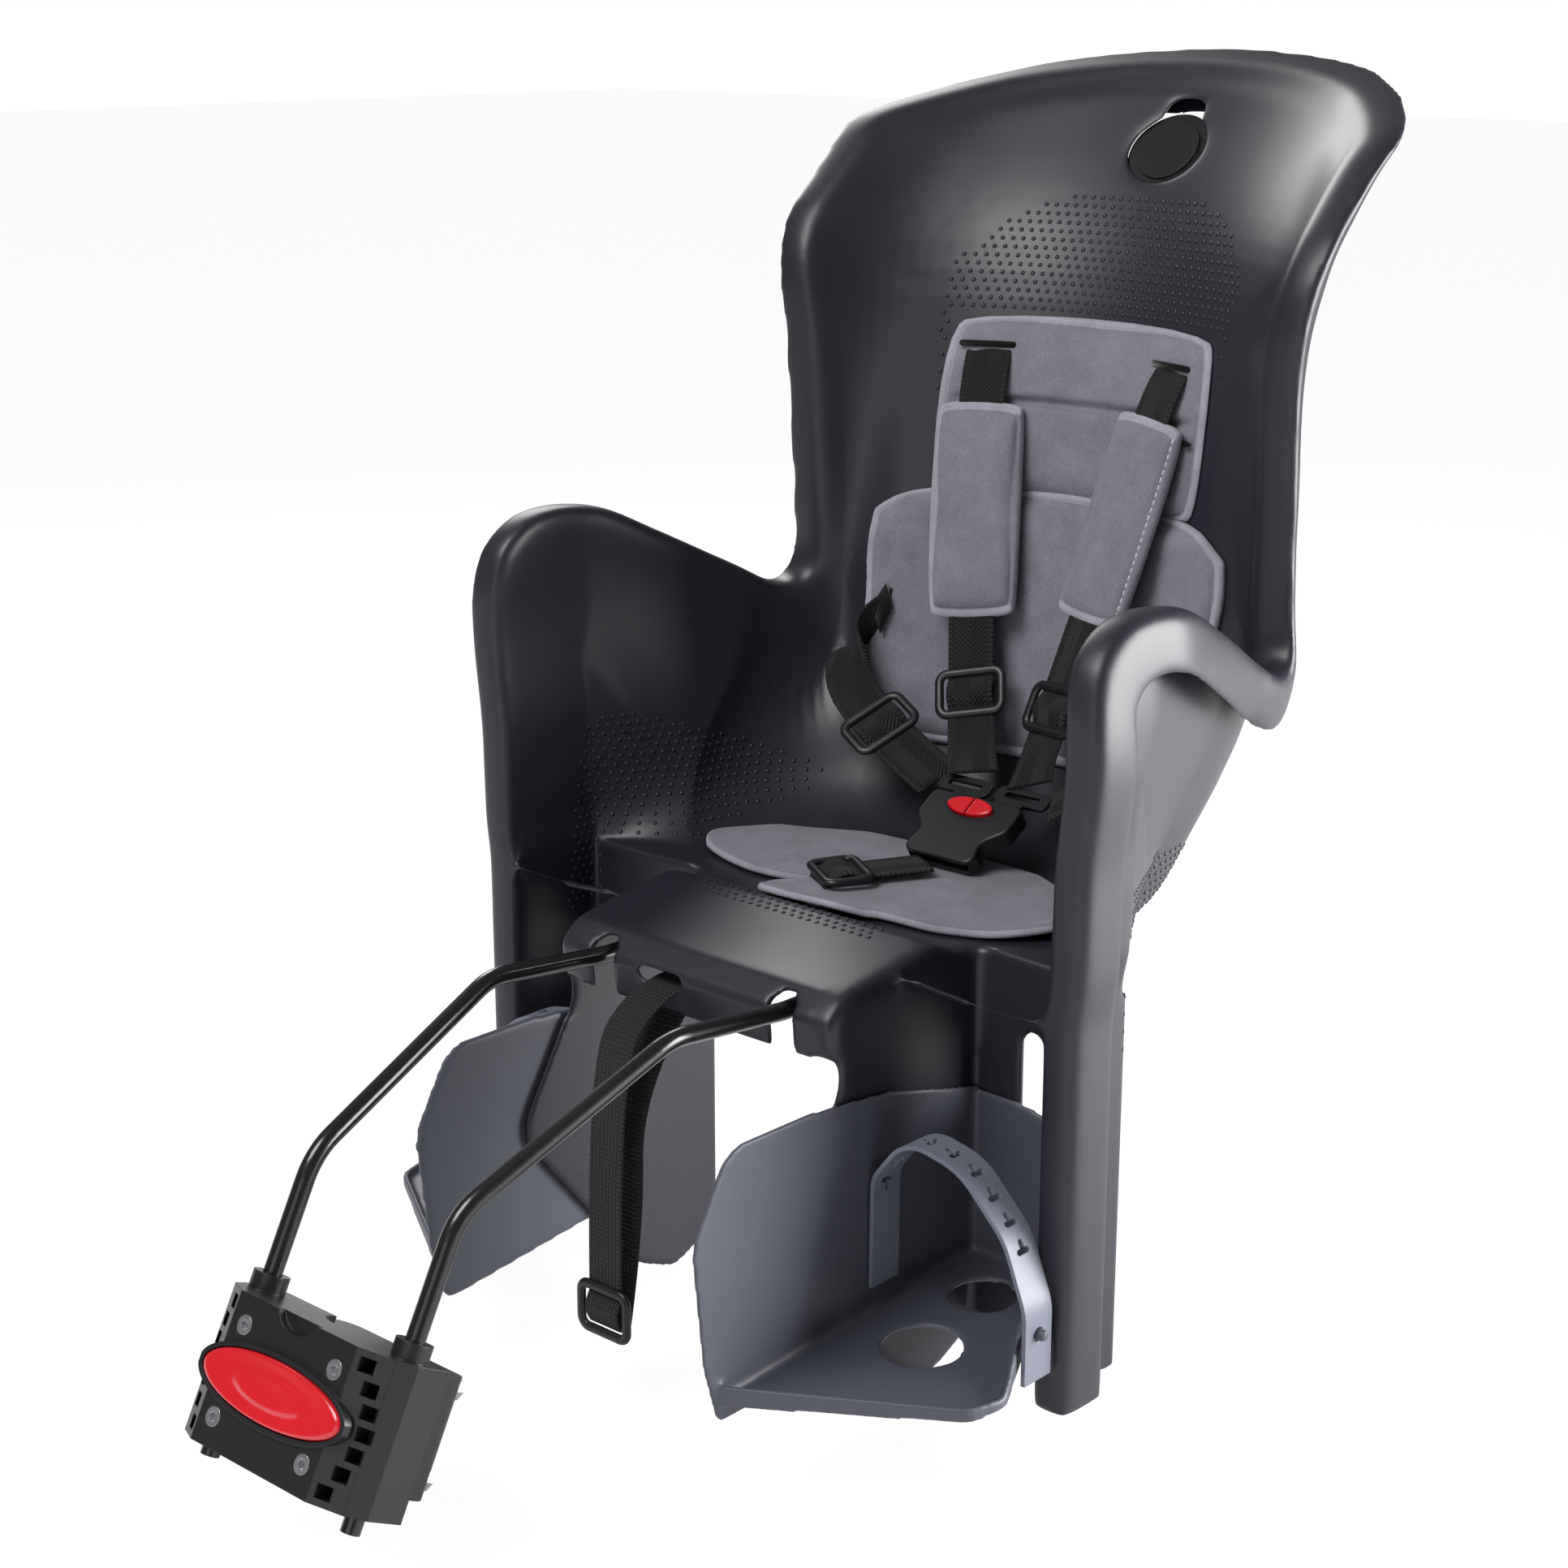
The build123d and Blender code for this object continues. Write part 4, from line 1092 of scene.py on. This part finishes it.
@dataclass
class Slide:
    """A slide on a strap: a rounded frame, with the webbing humped up over its middle."""

    line: BandLine
    band: Band
    half_length: float = 13.0
    side_room: float = 5.0
    corner: float = 5.5
    wire: Point2 = (2.9, 2.1)
    lift: float = 1.5
    hump_half: float = 9.0
    hump_rise: float = 3.4

    ring_points = 88
    wire_sides = 12
    hump_steps = 8

    def build(self, node: str, facing: Vector) -> bpy.types.Object:
        """Builds the slide in place of its node.

        Args:
            node: Slide's node, which gives the place.
            facing: Roughly where the slide's front looks.

        Returns:
            The frame.
        """
        corners = [vertex.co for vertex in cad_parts[node].data.vertices]
        near = sum(corners, Vector()) / len(corners)
        run = min(self.line.runs, key=lambda reach: (self.line.frame_along(reach)[0] - near).length)
        point, wide, out = self.line.frame_along(run)
        front = out if out.dot(facing) > 0 else -out
        along = wide.cross(front)
        ring = self.outline()
        points = []
        for number, (x, y) in enumerate(ring):
            ahead, behind = ring[(number + 1) % len(ring)], ring[number - 1]
            away = Vector((ahead[1] - behind[1], behind[0] - ahead[0])).normalized()
            for cos, sin in circle(self.wire_sides):
                reach, rise = self.wire[0] * cos, self.wire[1] * sin + self.lift
                place = wide * (x + away.x * reach) + along * (y + away.y * reach) + front * rise
                points.append(point + place * MM)
        faces = tube_faces(len(ring), self.wire_sides, looped=True)
        piece = seat_on(mesh_piece(f"{node}_frame", points, faces, [NYLON]), Body.SEAT, Slot.NYLON, node)
        hump = []
        for step in range(-self.hump_steps, self.hump_steps + 1):
            reach = self.hump_half * step / self.hump_steps
            rise = self.hump_rise * math.cos(reach / self.hump_half * math.pi / 2)
            hump.append(point + (along * reach + front * rise) * MM)
        over = self.band.build(f"{node}_webbing", BandLine(hump, [wide, wide]))
        seat_on(over, Body.SEAT, Slot.WEBBING)
        return piece

    def outline(self) -> list[Point2]:
        """Middle line of the frame's wire, with rounded corners."""
        half_x, half_y = self.band.width_mm / 2 + self.side_room, self.half_length
        box = [(-half_x, -half_y), (half_x, -half_y), (half_x, half_y), (-half_x, half_y)]
        bends = filleted([*box, *box[:2]], [self.corner] * 4)
        return spaced([place for bend in bends for place in bend], self.ring_points)


@dataclass
class SafetyStrap:
    """The strap round the bicycle's frame: out of the nose, to its slide and back up."""

    offset_mm: float = -21.0
    down: tuple[Point2, ...] = ((-78, -20.6), (-116, -20.6), (-147, -60), (-147, -206))
    back: tuple[Point2, ...] = ((-140, -205), (-129, -150), (-129, -70), (-88, -30))

    band = Band(25.0, 1.6, SAFETY_WEBBING)

    def build(self) -> None:
        """Builds both strands as cords."""
        self.strand("safety_webbing_down", "safety_strap", self.down, "safety_strap_adjuster")
        self.strand("safety_webbing_back", "safety_strap_return", self.back)

    def strand(self, name: str, node: str, route: Sequence[Point2], slide: str = "") -> None:
        """Builds one strand on the node's route.

        Args:
            name: Piece's name.
            node: Node that it stands for.
            route: Route's points in the strap's own plane, y and height in mm.
            slide: Node of the slide on the strand, if it has one.
        """
        points = spline_points(name, [seat_point(self.offset_mm, y, rise) for y, rise in route])
        line = BandLine(points, [ACROSS, ACROSS])
        piece = seat_on(self.band.build(name, line), Body.SEAT, Slot.WEBBING, node)
        pieces = [Slide(line, self.band).build(slide, -BACKWARD)] if slide else []


@dataclass
class Harness:
    """Five straps of webbing and two padded sleeves, led to the buckle."""

    buckle_at: Point3 = (19.0, 107.0, 27.0)
    buckle_pitch: float = 33.0
    # Straps' ends on the buckle, in its own axes: across, along and rise
    shoulder_end: Point3 = (21.0, 44.0, 0.3)
    hip_end: Point3 = (41.5, 35.0, -2.6)
    mouth: Point3 = (0.0, -25.0, 0.0)
    strap_turn: float = 14.5
    right: tuple[Point3, ...] = ((73.0, 256, 293.0), (68, 234, 302.0), (48, 208, 186), (30, 164, 60))
    left: tuple[Point3, ...] = ((-73.0, 256, 293.0), (-68, 234, 304.0), (-57, 208, 186), (-31, 178, 56))
    hip: tuple[Point3, ...] = ((101, 201, 128), (125, 172, 112), (108, 152, 74))
    hip_facing: Point3 = (0.45, -0.75, 0.45)
    crotch_at: Point2 = (-20.0, 24.0)
    crotch_root: float = -8.0
    crotch_rise: float = 11.8
    crotch_gap: float = 7.0
    sleeve_span: Point2 = (0.19, 0.63)
    sleeve_width_mm: float = 58.0
    weld_mm: float = 5.0
    end_weld_mm: float = 7.0

    band = Band(30.0, 1.8, HARNESS_WEBBING)
    # A stitch: pitch and length along the seam, then its section as offset and rise
    stitch_pitch = 4.6
    stitch_length = 2.9
    stitch_section = ((-0.45, 1.3), (-0.3, 1.95), (0.3, 1.95), (0.45, 1.3))

    def on_buckle(self, x: float, along: float, rise: float) -> Vector:
        """A point of the buckle in metres, from its middle, in mm along its own axes."""
        pitch = math.radians(self.buckle_pitch)
        lengthwise = Vector((0.0, math.cos(pitch), math.sin(pitch)))
        upward = Vector((0.0, -math.sin(pitch), math.cos(pitch)))
        return seat_point(*self.buckle_at) + (ACROSS * x + lengthwise * along + upward * rise) * MM

    def build(self) -> None:
        """Builds straps, slides and sleeves."""
        turn = math.radians(self.strap_turn)
        for side, way, route in (("right", 1, self.right), ("left", -1, self.left)):
            slant = Vector((math.cos(turn), -way * math.sin(turn), 0.0))
            end = self.on_buckle(way * self.shoulder_end[0], *self.shoulder_end[1:])
            points = spline_points(side, [seat_point(*place) for place in route] + [end])
            line = BandLine(points, [slant, slant])
            self.strap(f"shoulder_webbing_{side}", line, f"shoulder_strap_{side}")
            self.sleeve(f"shoulder_sleeve_{side}", line, side)
            Slide(line, self.band).build(f"shoulder_adjuster_{side}", Vector((0.0, -1.0, 0.3)))
            end = self.on_buckle(way * self.hip_end[0], *self.hip_end[1:])
            hip = [seat_point(way * x, y, rise) for x, y, rise in self.hip] + [end]
            facing = Vector((-way * self.hip_facing[0], *self.hip_facing[1:]))
            wide = facing.cross(end - hip[0]).normalized() * -way
            # The strap leaves its slit on edge and twists to lie flat
            line = BandLine(spline_points(side, hip), [UP, wide, wide])
            self.strap(f"hip_webbing_{side}", line, f"hip_strap_{side}")
            Slide(line, self.band).build(f"hip_adjuster_{side}", facing)
        self.crotch()

    def crotch(self) -> None:
        """Builds the strap from the pan to the buckle's mouth."""
        mouth = self.on_buckle(*self.mouth)
        corner = seat_point(*self.crotch_at, self.crotch_rise)
        start = seat_point(*self.crotch_at, self.crotch_root)
        stop = mouth + (corner - mouth).normalized() * self.crotch_gap * MM
        wide = (stop - start).cross(UP).normalized()
        route = [start, start.lerp(corner, 0.9), corner + (stop - corner) * 0.12, stop]
        line = BandLine(spline_points("crotch", route), [wide, wide])
        self.strap("crotch_webbing", line, "crotch_strap")
        Slide(line, self.band).build("crotch_adjuster", UP)

    def strap(self, name: str, line: BandLine, node: str) -> None:
        """Builds one strap in place of its node."""
        seat_on(self.band.build(name, line), Body.SEAT, Slot.WEBBING, node)

    def sleeve(self, name: str, line: BandLine, side: str) -> None:
        """Builds the padded sleeve on a shoulder strap.

        Args:
            name: Piece's name.
            line: Strap's middle line.
            side: right or left.
        """
        first, last = (share * line.runs[-1] for share in self.sleeve_span)
        half_run, half_wide = (last - first) / 2 / MM, self.sleeve_width_mm / 2
        welt = -1 if side == "left" else 0

        def place(x: float, along: float) -> Spot:
            """Where the flat sleeve's point lies on the strap."""
            point, wide, out = line.frame_along((first + last) / 2 - along * MM)
            return point + wide * x * MM, -out

        def height(x: float, along: float, inset: float) -> float:
            """Rise of the sleeve's front over the strap."""
            if inset < self.weld_mm:
                return 1.5 * min(1.0, 0.3 + inset / 2.0)
            return 1.4 + 4.0 * (1 - math.exp(-(inset - self.weld_mm) / 4.0))

        def border(x: float, along: float, inset: float) -> bool:
            """Whether the sleeve is welded at a point: at its ends, and on the left one's outer edge."""
            return inset < self.weld_mm and (abs(along) > half_run - self.end_weld_mm or welt * x > 0)

        box = [(-half_wide, -half_run), (half_wide, -half_run), (half_wide, half_run), (-half_wide, half_run)]
        panel = PaddedPanel(
            name, rounded_corners(box, 6.0), (0.0, 0.0), place, height, border,
            under=3.4, spokes=180, middle_rings=10,
        )
        panel.make(f"shoulder_pad_{side}", lambda x, along, inset: inset < 5.5, 2.5, 1.5)
        if side == "right":
            self.stitch_edge(place, half_wide - 3.6, half_run - 4.0)

    def stitch_edge(self, place: Place, offset: float, half_run: float) -> None:
        """Sews a row of stitches along a sleeve's edge.

        Args:
            place: Where a flat point of the sleeve lies.
            offset: Row's distance from the sleeve's middle, in mm.
            half_run: Half the row's length, in mm.
        """
        points, faces = [], []
        for number in range(int(2 * half_run / self.stitch_pitch)):
            faces += tube_faces(2, len(self.stitch_section), len(points))
            for step in (0.0, self.stitch_length):
                along = -half_run + number * self.stitch_pitch + step
                base, out = place(offset, along)
                wide = (place(offset + 1.0, along)[0] - base).normalized()
                for across, rise in self.stitch_section:
                    points.append(base + (wide * across + out * rise) * MM)
        seat_on(mesh_piece("sleeve_stitching", points, faces, [STITCHING]), Body.SEAT, Slot.VELOUR)


@dataclass
class Pads:
    """The velour pads of the backrest and the pan."""

    probe: ShellProbe
    gap_mm: float = 0.7
    weld_mm: float = 5.2
    channel: float = 256.0
    slit_half: float = 1.8

    # Half outlines of the back pad's panels, x and height
    upper_half = ((97, 307), (99, 198))
    lower_half = ((0, 205), (86, 203), (124, 195), (134, 176), (126, 120), (122, 66), (92, 46))
    # The shell's own slots: heights, then middle and reach along x, and reach in height
    shell_slots = (294.0, 242.0)
    slot_x = (70.0, 25.0)
    slot_reach = 11.0
    # The pad's slits: middle and half length of the level ones, and the hip straps' outline
    slits = ((67, 286, 17), (-71, 288, 18), (78, 246, 15), (-72, 243, 17))
    hip_slit = ((108.5, 127), (112.5, 141), (117, 127), (112, 110))
    seat_outline = (
        (34, 12), (74, 15), (108, 28), (132, 50), (116, 98), (66, 126), (0, 130), (-66, 126), (-116, 98),
        (-134, 54), (-123, 40), (-76, 27), (-54, 29), (-28, 37), (-50, 10), (-42, -3), (-20, -7), (9, -5),
        (25, 0),
    )

    def build(self) -> None:
        """Builds the pads."""
        upper = [*self.upper_half, *((-x, height) for x, height in reversed(self.upper_half))]
        lower = [*self.lower_half, *((-x, height) for x, height in reversed(self.lower_half[1:]))]
        self.back_panel("back_pad_upper", upper, (0.0, 252.0), self.upper_rise)
        self.back_panel("back_pad_lower", lower, (0.0, 126.0), self.lower_rise)
        self.paint_slit_shade()
        self.seat_pad()

    def on_back(self, x: float, height: float) -> Spot:
        """Where a flat point of the back pad lies on the backrest."""
        point, normal = self.bridged(x, height) or self.probe.backrest(x, height)
        return point + normal * self.gap_mm * MM, normal

    def bridged(self, x: float, height: float) -> Spot | None:
        """A point over one of the shell's own slots, so that the pad stays even there, or None."""
        middle, reach_x = self.slot_x
        for slot in self.shell_slots:
            if abs(abs(x) - middle) < reach_x and abs(height - slot) < self.slot_reach:
                low, high = (self.probe.backrest(x, slot + way * self.slot_reach) for way in (-1, 1))
                share = (height - slot + self.slot_reach) / (2 * self.slot_reach)
                return low[0].lerp(high[0], share), low[1].lerp(high[1], share).normalized()
        return None

    def upper_rise(self, x: float, height: float, inset: float) -> float:
        """Rise of the upper panel: welded border, then two rolls with a channel between."""
        if inset < self.weld_mm:
            return 2.6 * min(1.0, 0.25 + inset / 2.0)
        rise = 1.9 + 6.0 * (1 - math.exp(-(inset - self.weld_mm) / 5.0))
        return rise - 4.4 * math.exp(-((height - self.channel) / 3.0) ** 2) * eased(97.0 - abs(x), 4.0, 14.0)

    def lower_rise(self, x: float, height: float, inset: float) -> float:
        """Rise of the lower panel, whose welded border lies over the upper one."""
        if inset < self.weld_mm:
            return 1.4 + 2.8 * min(1.0, 0.25 + inset / 2.0)
        return 3.4 + 6.2 * (1 - math.exp(-(inset - self.weld_mm) / 6.0))

    def back_panel(self, name: str, outline: list[Point2], centre: Point2, rise: Rise) -> None:
        """Builds one panel of the back pad.

        Args:
            name: Piece's name.
            outline: Its outline, x and height in mm.
            centre: Point that its rings close in on.
            rise: Rise of its front over the shell.
        """

        def seam(x: float, height: float, inset: float) -> bool:
            """Whether the panel is held at a point: border and channel are welded down."""
            return inset < 6.5 or rise(x, height, inset) < 4.5

        panel = PaddedPanel(
            name, rounded_corners(outline, 12.0), centre, self.on_back, rise,
            lambda x, height, inset: inset < 5.0, middle_rings=34,
        )
        panel.make("back_pad", seam, 3.0, 2.0)

    def paint_slit_shade(self) -> None:
        """Lays near-black patches on the pad as painted shade in the slits that the straps come out of."""
        outlines, half_turn = [], 6
        for x, height, half in self.slits:
            outlines.append([
                (
                    x + way * (half - self.slit_half) + self.slit_half * math.cos(turn),
                    height + self.slit_half * math.sin(turn),
                )
                for way, first in ((1, -90), (-1, 90))
                for turn in (math.radians(first + 180 / half_turn * step) for step in range(half_turn + 1))
            ])
        for way in (-1, 1):
            outlines.append([(way * x, height) for x, height in self.hip_slit][::way])
        points, faces = [], []
        for outline in outlines:
            faces += tube_faces(2, len(outline), len(points))
            for lift in (-1.5, 1.0):
                for x, height in outline:
                    point, normal = self.on_back(x, height)
                    on_lower = height < 200.0
                    rise = self.lower_rise(x, height, 40.0) if on_lower else self.upper_rise(x, height, 14.0)
                    points.append(point + normal * (rise + lift) * MM)
        # The patches are painted shade, standing for the dark openings of the slits
        seat_on(mesh_piece("strap_slit_shade", points, faces, [SLIT_SHADE]), Body.SEAT, Slot.VELOUR)

    def seat_pad(self) -> None:
        """Builds the seat pad, with its flap over the nose."""

        def place(x: float, y: float) -> Spot:
            """Where a flat point lies on the pan, the nose and the bolsters."""
            lift = self.gap_mm
            if y < 8.0:
                lift += (8.0 - y) * 0.42
            if abs(x) > 92.0:
                lift += ((abs(x) - 92.0) / 42.0) ** 2 * 5.0
            lift += 0.8 * math.sin(x / 17.0) * max(0.0, 1.0 - (y + 8.0) / 60.0)
            return seat_point(x, y, lift + 0.6), UP

        def height(x: float, y: float, inset: float) -> float:
            """Rise of the pad's top: a thick felted edge and a slight crown."""
            return 4.6 * math.sqrt(min(1.0, 0.12 + inset / 2.4)) + 1.6 * (1 - math.exp(-inset / 18.0))

        panel = PaddedPanel(
            "seat_pad_velour", rounded_corners(self.seat_outline, 5.0), (-4.0, 58.0), place, height,
            lambda x, y, inset: inset < 1.0,
        )
        panel.make("seat_pad", lambda x, y, inset: inset < 3.0, 1.5, 1.2)


@dataclass
class DotPanels:
    """Fields of raised dots moulded into the shell."""

    probe: ShellProbe
    pitch_mm: float = 6.2
    row_pitch: float = 0.8
    dot_mm: float = 1.6
    rise_mm: float = 0.7

    # Outlines of the fields on the wings' inner and outer sides, y and height
    wing = ((15, 69), (39, 77), (132, 43), (165, 20), (58, 3), (33, -33), (-9, -44))
    outer = ((22, 52), (80, 54), (132, 46), (120, 16), (84, -2), (30, -6))
    # A dot's rings as shares of its radius and its rise
    dome = ((1.0, -0.1), (0.72, 0.62))
    sides = 8

    def build(self) -> None:
        """Builds the dots of backrest, wings and nose."""
        self.field("backrest_dots", self.backrest_spots())
        wing = [spot for spot in self.grid((-10.0, -46.0), (170.0, 80.0)) if inside(self.wing, *spot)]
        outer = [spot for spot in self.grid((22.0, -6.0), (134.0, 56.0)) if inside(self.outer, *spot)]
        for side, way in (("left", -1), ("right", 1)):
            within = [seat_point(way * 125.0, *spot) for spot in wing]
            self.field(f"wing_dots_{side}", self.hits(within, ACROSS * way))
            beyond = [seat_point(way * 260.0, *spot) for spot in outer]
            self.field(f"outer_dots_{side}", self.hits(beyond, ACROSS * -way))
        nose = self.grid((-66.0, -28.0), (66.0, -10.0))
        self.field("nose_dots", self.hits([seat_point(*spot, 60.0) for spot in nose], -UP))

    def grid(self, low: Point2, high: Point2) -> list[Point2]:
        """Staggered points over a box."""
        points, row = [], 0
        height = low[1]
        while height <= high[1]:
            x = low[0] + (self.pitch_mm / 2 if row % 2 else 0.0)
            while x <= high[0]:
                points.append((x, height))
                x += self.pitch_mm
            height += self.pitch_mm * self.row_pitch
            row += 1
        return points

    def hits(self, starts: Sequence[Vector], way: Vector) -> list[Spot]:
        """Spots where rays from the starts meet the shell."""
        found = (self.probe.hit(start, way) for start in starts)
        return [spot for spot in found if spot is not None]

    def backrest_spots(self) -> list[Spot]:
        """Spots above and beside the back pad."""
        spots = []
        for x, height in self.grid((-112.0, 212.0), (112.0, 388.0)):
            top = 380.0 - 42.0 * (x / 108.0) ** 4 - 10.0 * (x / 108.0) ** 2
            behind_pad = abs(x) < 99.0 and height < 309.0
            if height < top and not behind_pad and abs(x) < 96.0 + (height - 212.0) * 0.08:
                spots.append(self.probe.backrest(x, height))
        return spots

    def field(self, name: str, spots: Sequence[Spot]) -> None:
        """Builds one field of low domes as one piece."""
        points, faces = [], []
        for centre, out in spots:
            wide = out.orthogonal().normalized()
            other = out.cross(wide)
            first, rim = len(points), len(points) + self.sides
            for share, lift in self.dome:
                for cos, sin in circle(self.sides):
                    reach = (wide * cos + other * sin) * self.dot_mm * share
                    points.append(centre + (reach + out * lift * self.rise_mm) * MM)
            points.append(centre + out * self.rise_mm * MM)
            # The tube's last cap gives way to a fan up to the dome's top
            faces += tube_faces(2, self.sides, first)[:-1]
            for step in range(self.sides):
                faces.append((rim + step, rim + (step + 1) % self.sides, rim + self.sides))
        seat_on(mesh_piece(name, points, faces, [SHELL_PLASTIC]), Body.SEAT, Slot.SHELL)


@dataclass
class ReleaseButton:
    """The red oval button with its raised, dished middle."""

    tilt: float = 28.0
    face_mm: float = 45.0
    length_mm: float = 104.0
    breadth_mm: float = 31.0
    depth_mm: float = 9.0
    proud_mm: float = 3.5

    sides = 96
    dish_rings = 24

    def profile(self) -> list[Point2]:
        """Rings from the button's back to its middle, as a share of the oval and a height."""
        rings = [(1.0, -self.depth_mm), (1.0, 0.6), (0.985, 1.9), (0.95, 2.9), (0.9, 3.3)]
        for step in range(1, self.dish_rings):
            share = 0.9 * (1 - step / self.dish_rings)
            edge = 1 / (1 + math.exp((share - 0.5) * 34))
            dish = 0.55 * max(0.0, 1 - (share / 0.42) ** 2)
            fall = 0.9 * (1 - edge) * (0.9 - share) / 0.4
            rings.append((share, self.proud_mm - 0.2 - fall + 0.35 * edge - dish))
        return rings

    def build(self) -> None:
        """Builds the button as rings on its oval."""
        tilt = math.radians(self.tilt)
        out = Vector((0.0, -math.cos(tilt), math.sin(tilt)))
        rise = Vector((0.0, math.sin(tilt), math.cos(tilt)))
        points, rings = [], self.profile()
        for share, lift in rings:
            for cos, sin in circle(self.sides):
                x, up = cos * self.length_mm / 2 * share, sin * self.breadth_mm / 2 * share
                points.append((ACROSS * x + rise * up + out * (self.face_mm + lift)) * MM)
        faces = tube_faces(len(rings), self.sides)
        piece = mesh_piece("release_button_dished", points, faces, [RED_PLASTIC])
        seat_on(piece, Body.BUTTON, Slot.RED, "release_button")


class FrameParts:
    """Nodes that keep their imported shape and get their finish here."""

    finishes = {
        PLUG_PLASTIC: ("keyhole_plug",),
        NYLON: (
            "buckle_body", "buckle_tongue_left", "buckle_tongue_right", "carrier_bracket", "block_front",
            "block_rear",
        ),
        RED_PLASTIC: ("buckle_button_left", "buckle_button_right"),
        BAND_PLASTIC: ("foot_strap_left", "foot_strap_right"),
        ROD_PAINT: ("carrier_rod",),
        STEEL: ("bracket_bolts", "clamp_bolts", "clamp_nuts"),
        RUBBER: ("tube_liner",),
    }

    def build(self) -> None:
        """Gives each node its material."""
        for finish, names in self.finishes.items():
            for name in names:
                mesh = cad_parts[name].data
                mesh.materials.clear()
                mesh.materials.append(finish.material())
                log.info("node %s in %s", name, finish.name)


def main() -> None:
    """Builds every piece in order."""
    logging.basicConfig(level=logging.INFO, format="%(name)s: %(message)s")
    Studio().build()
    SafetyStrap().build()
    FrameParts().build()
    probe = ShellProbe(Mouldings().build())
    Harness().build()
    Pads(probe).build()
    DotPanels(probe).build()
    ReleaseButton().build()


if __name__ == "__main__":
    main()
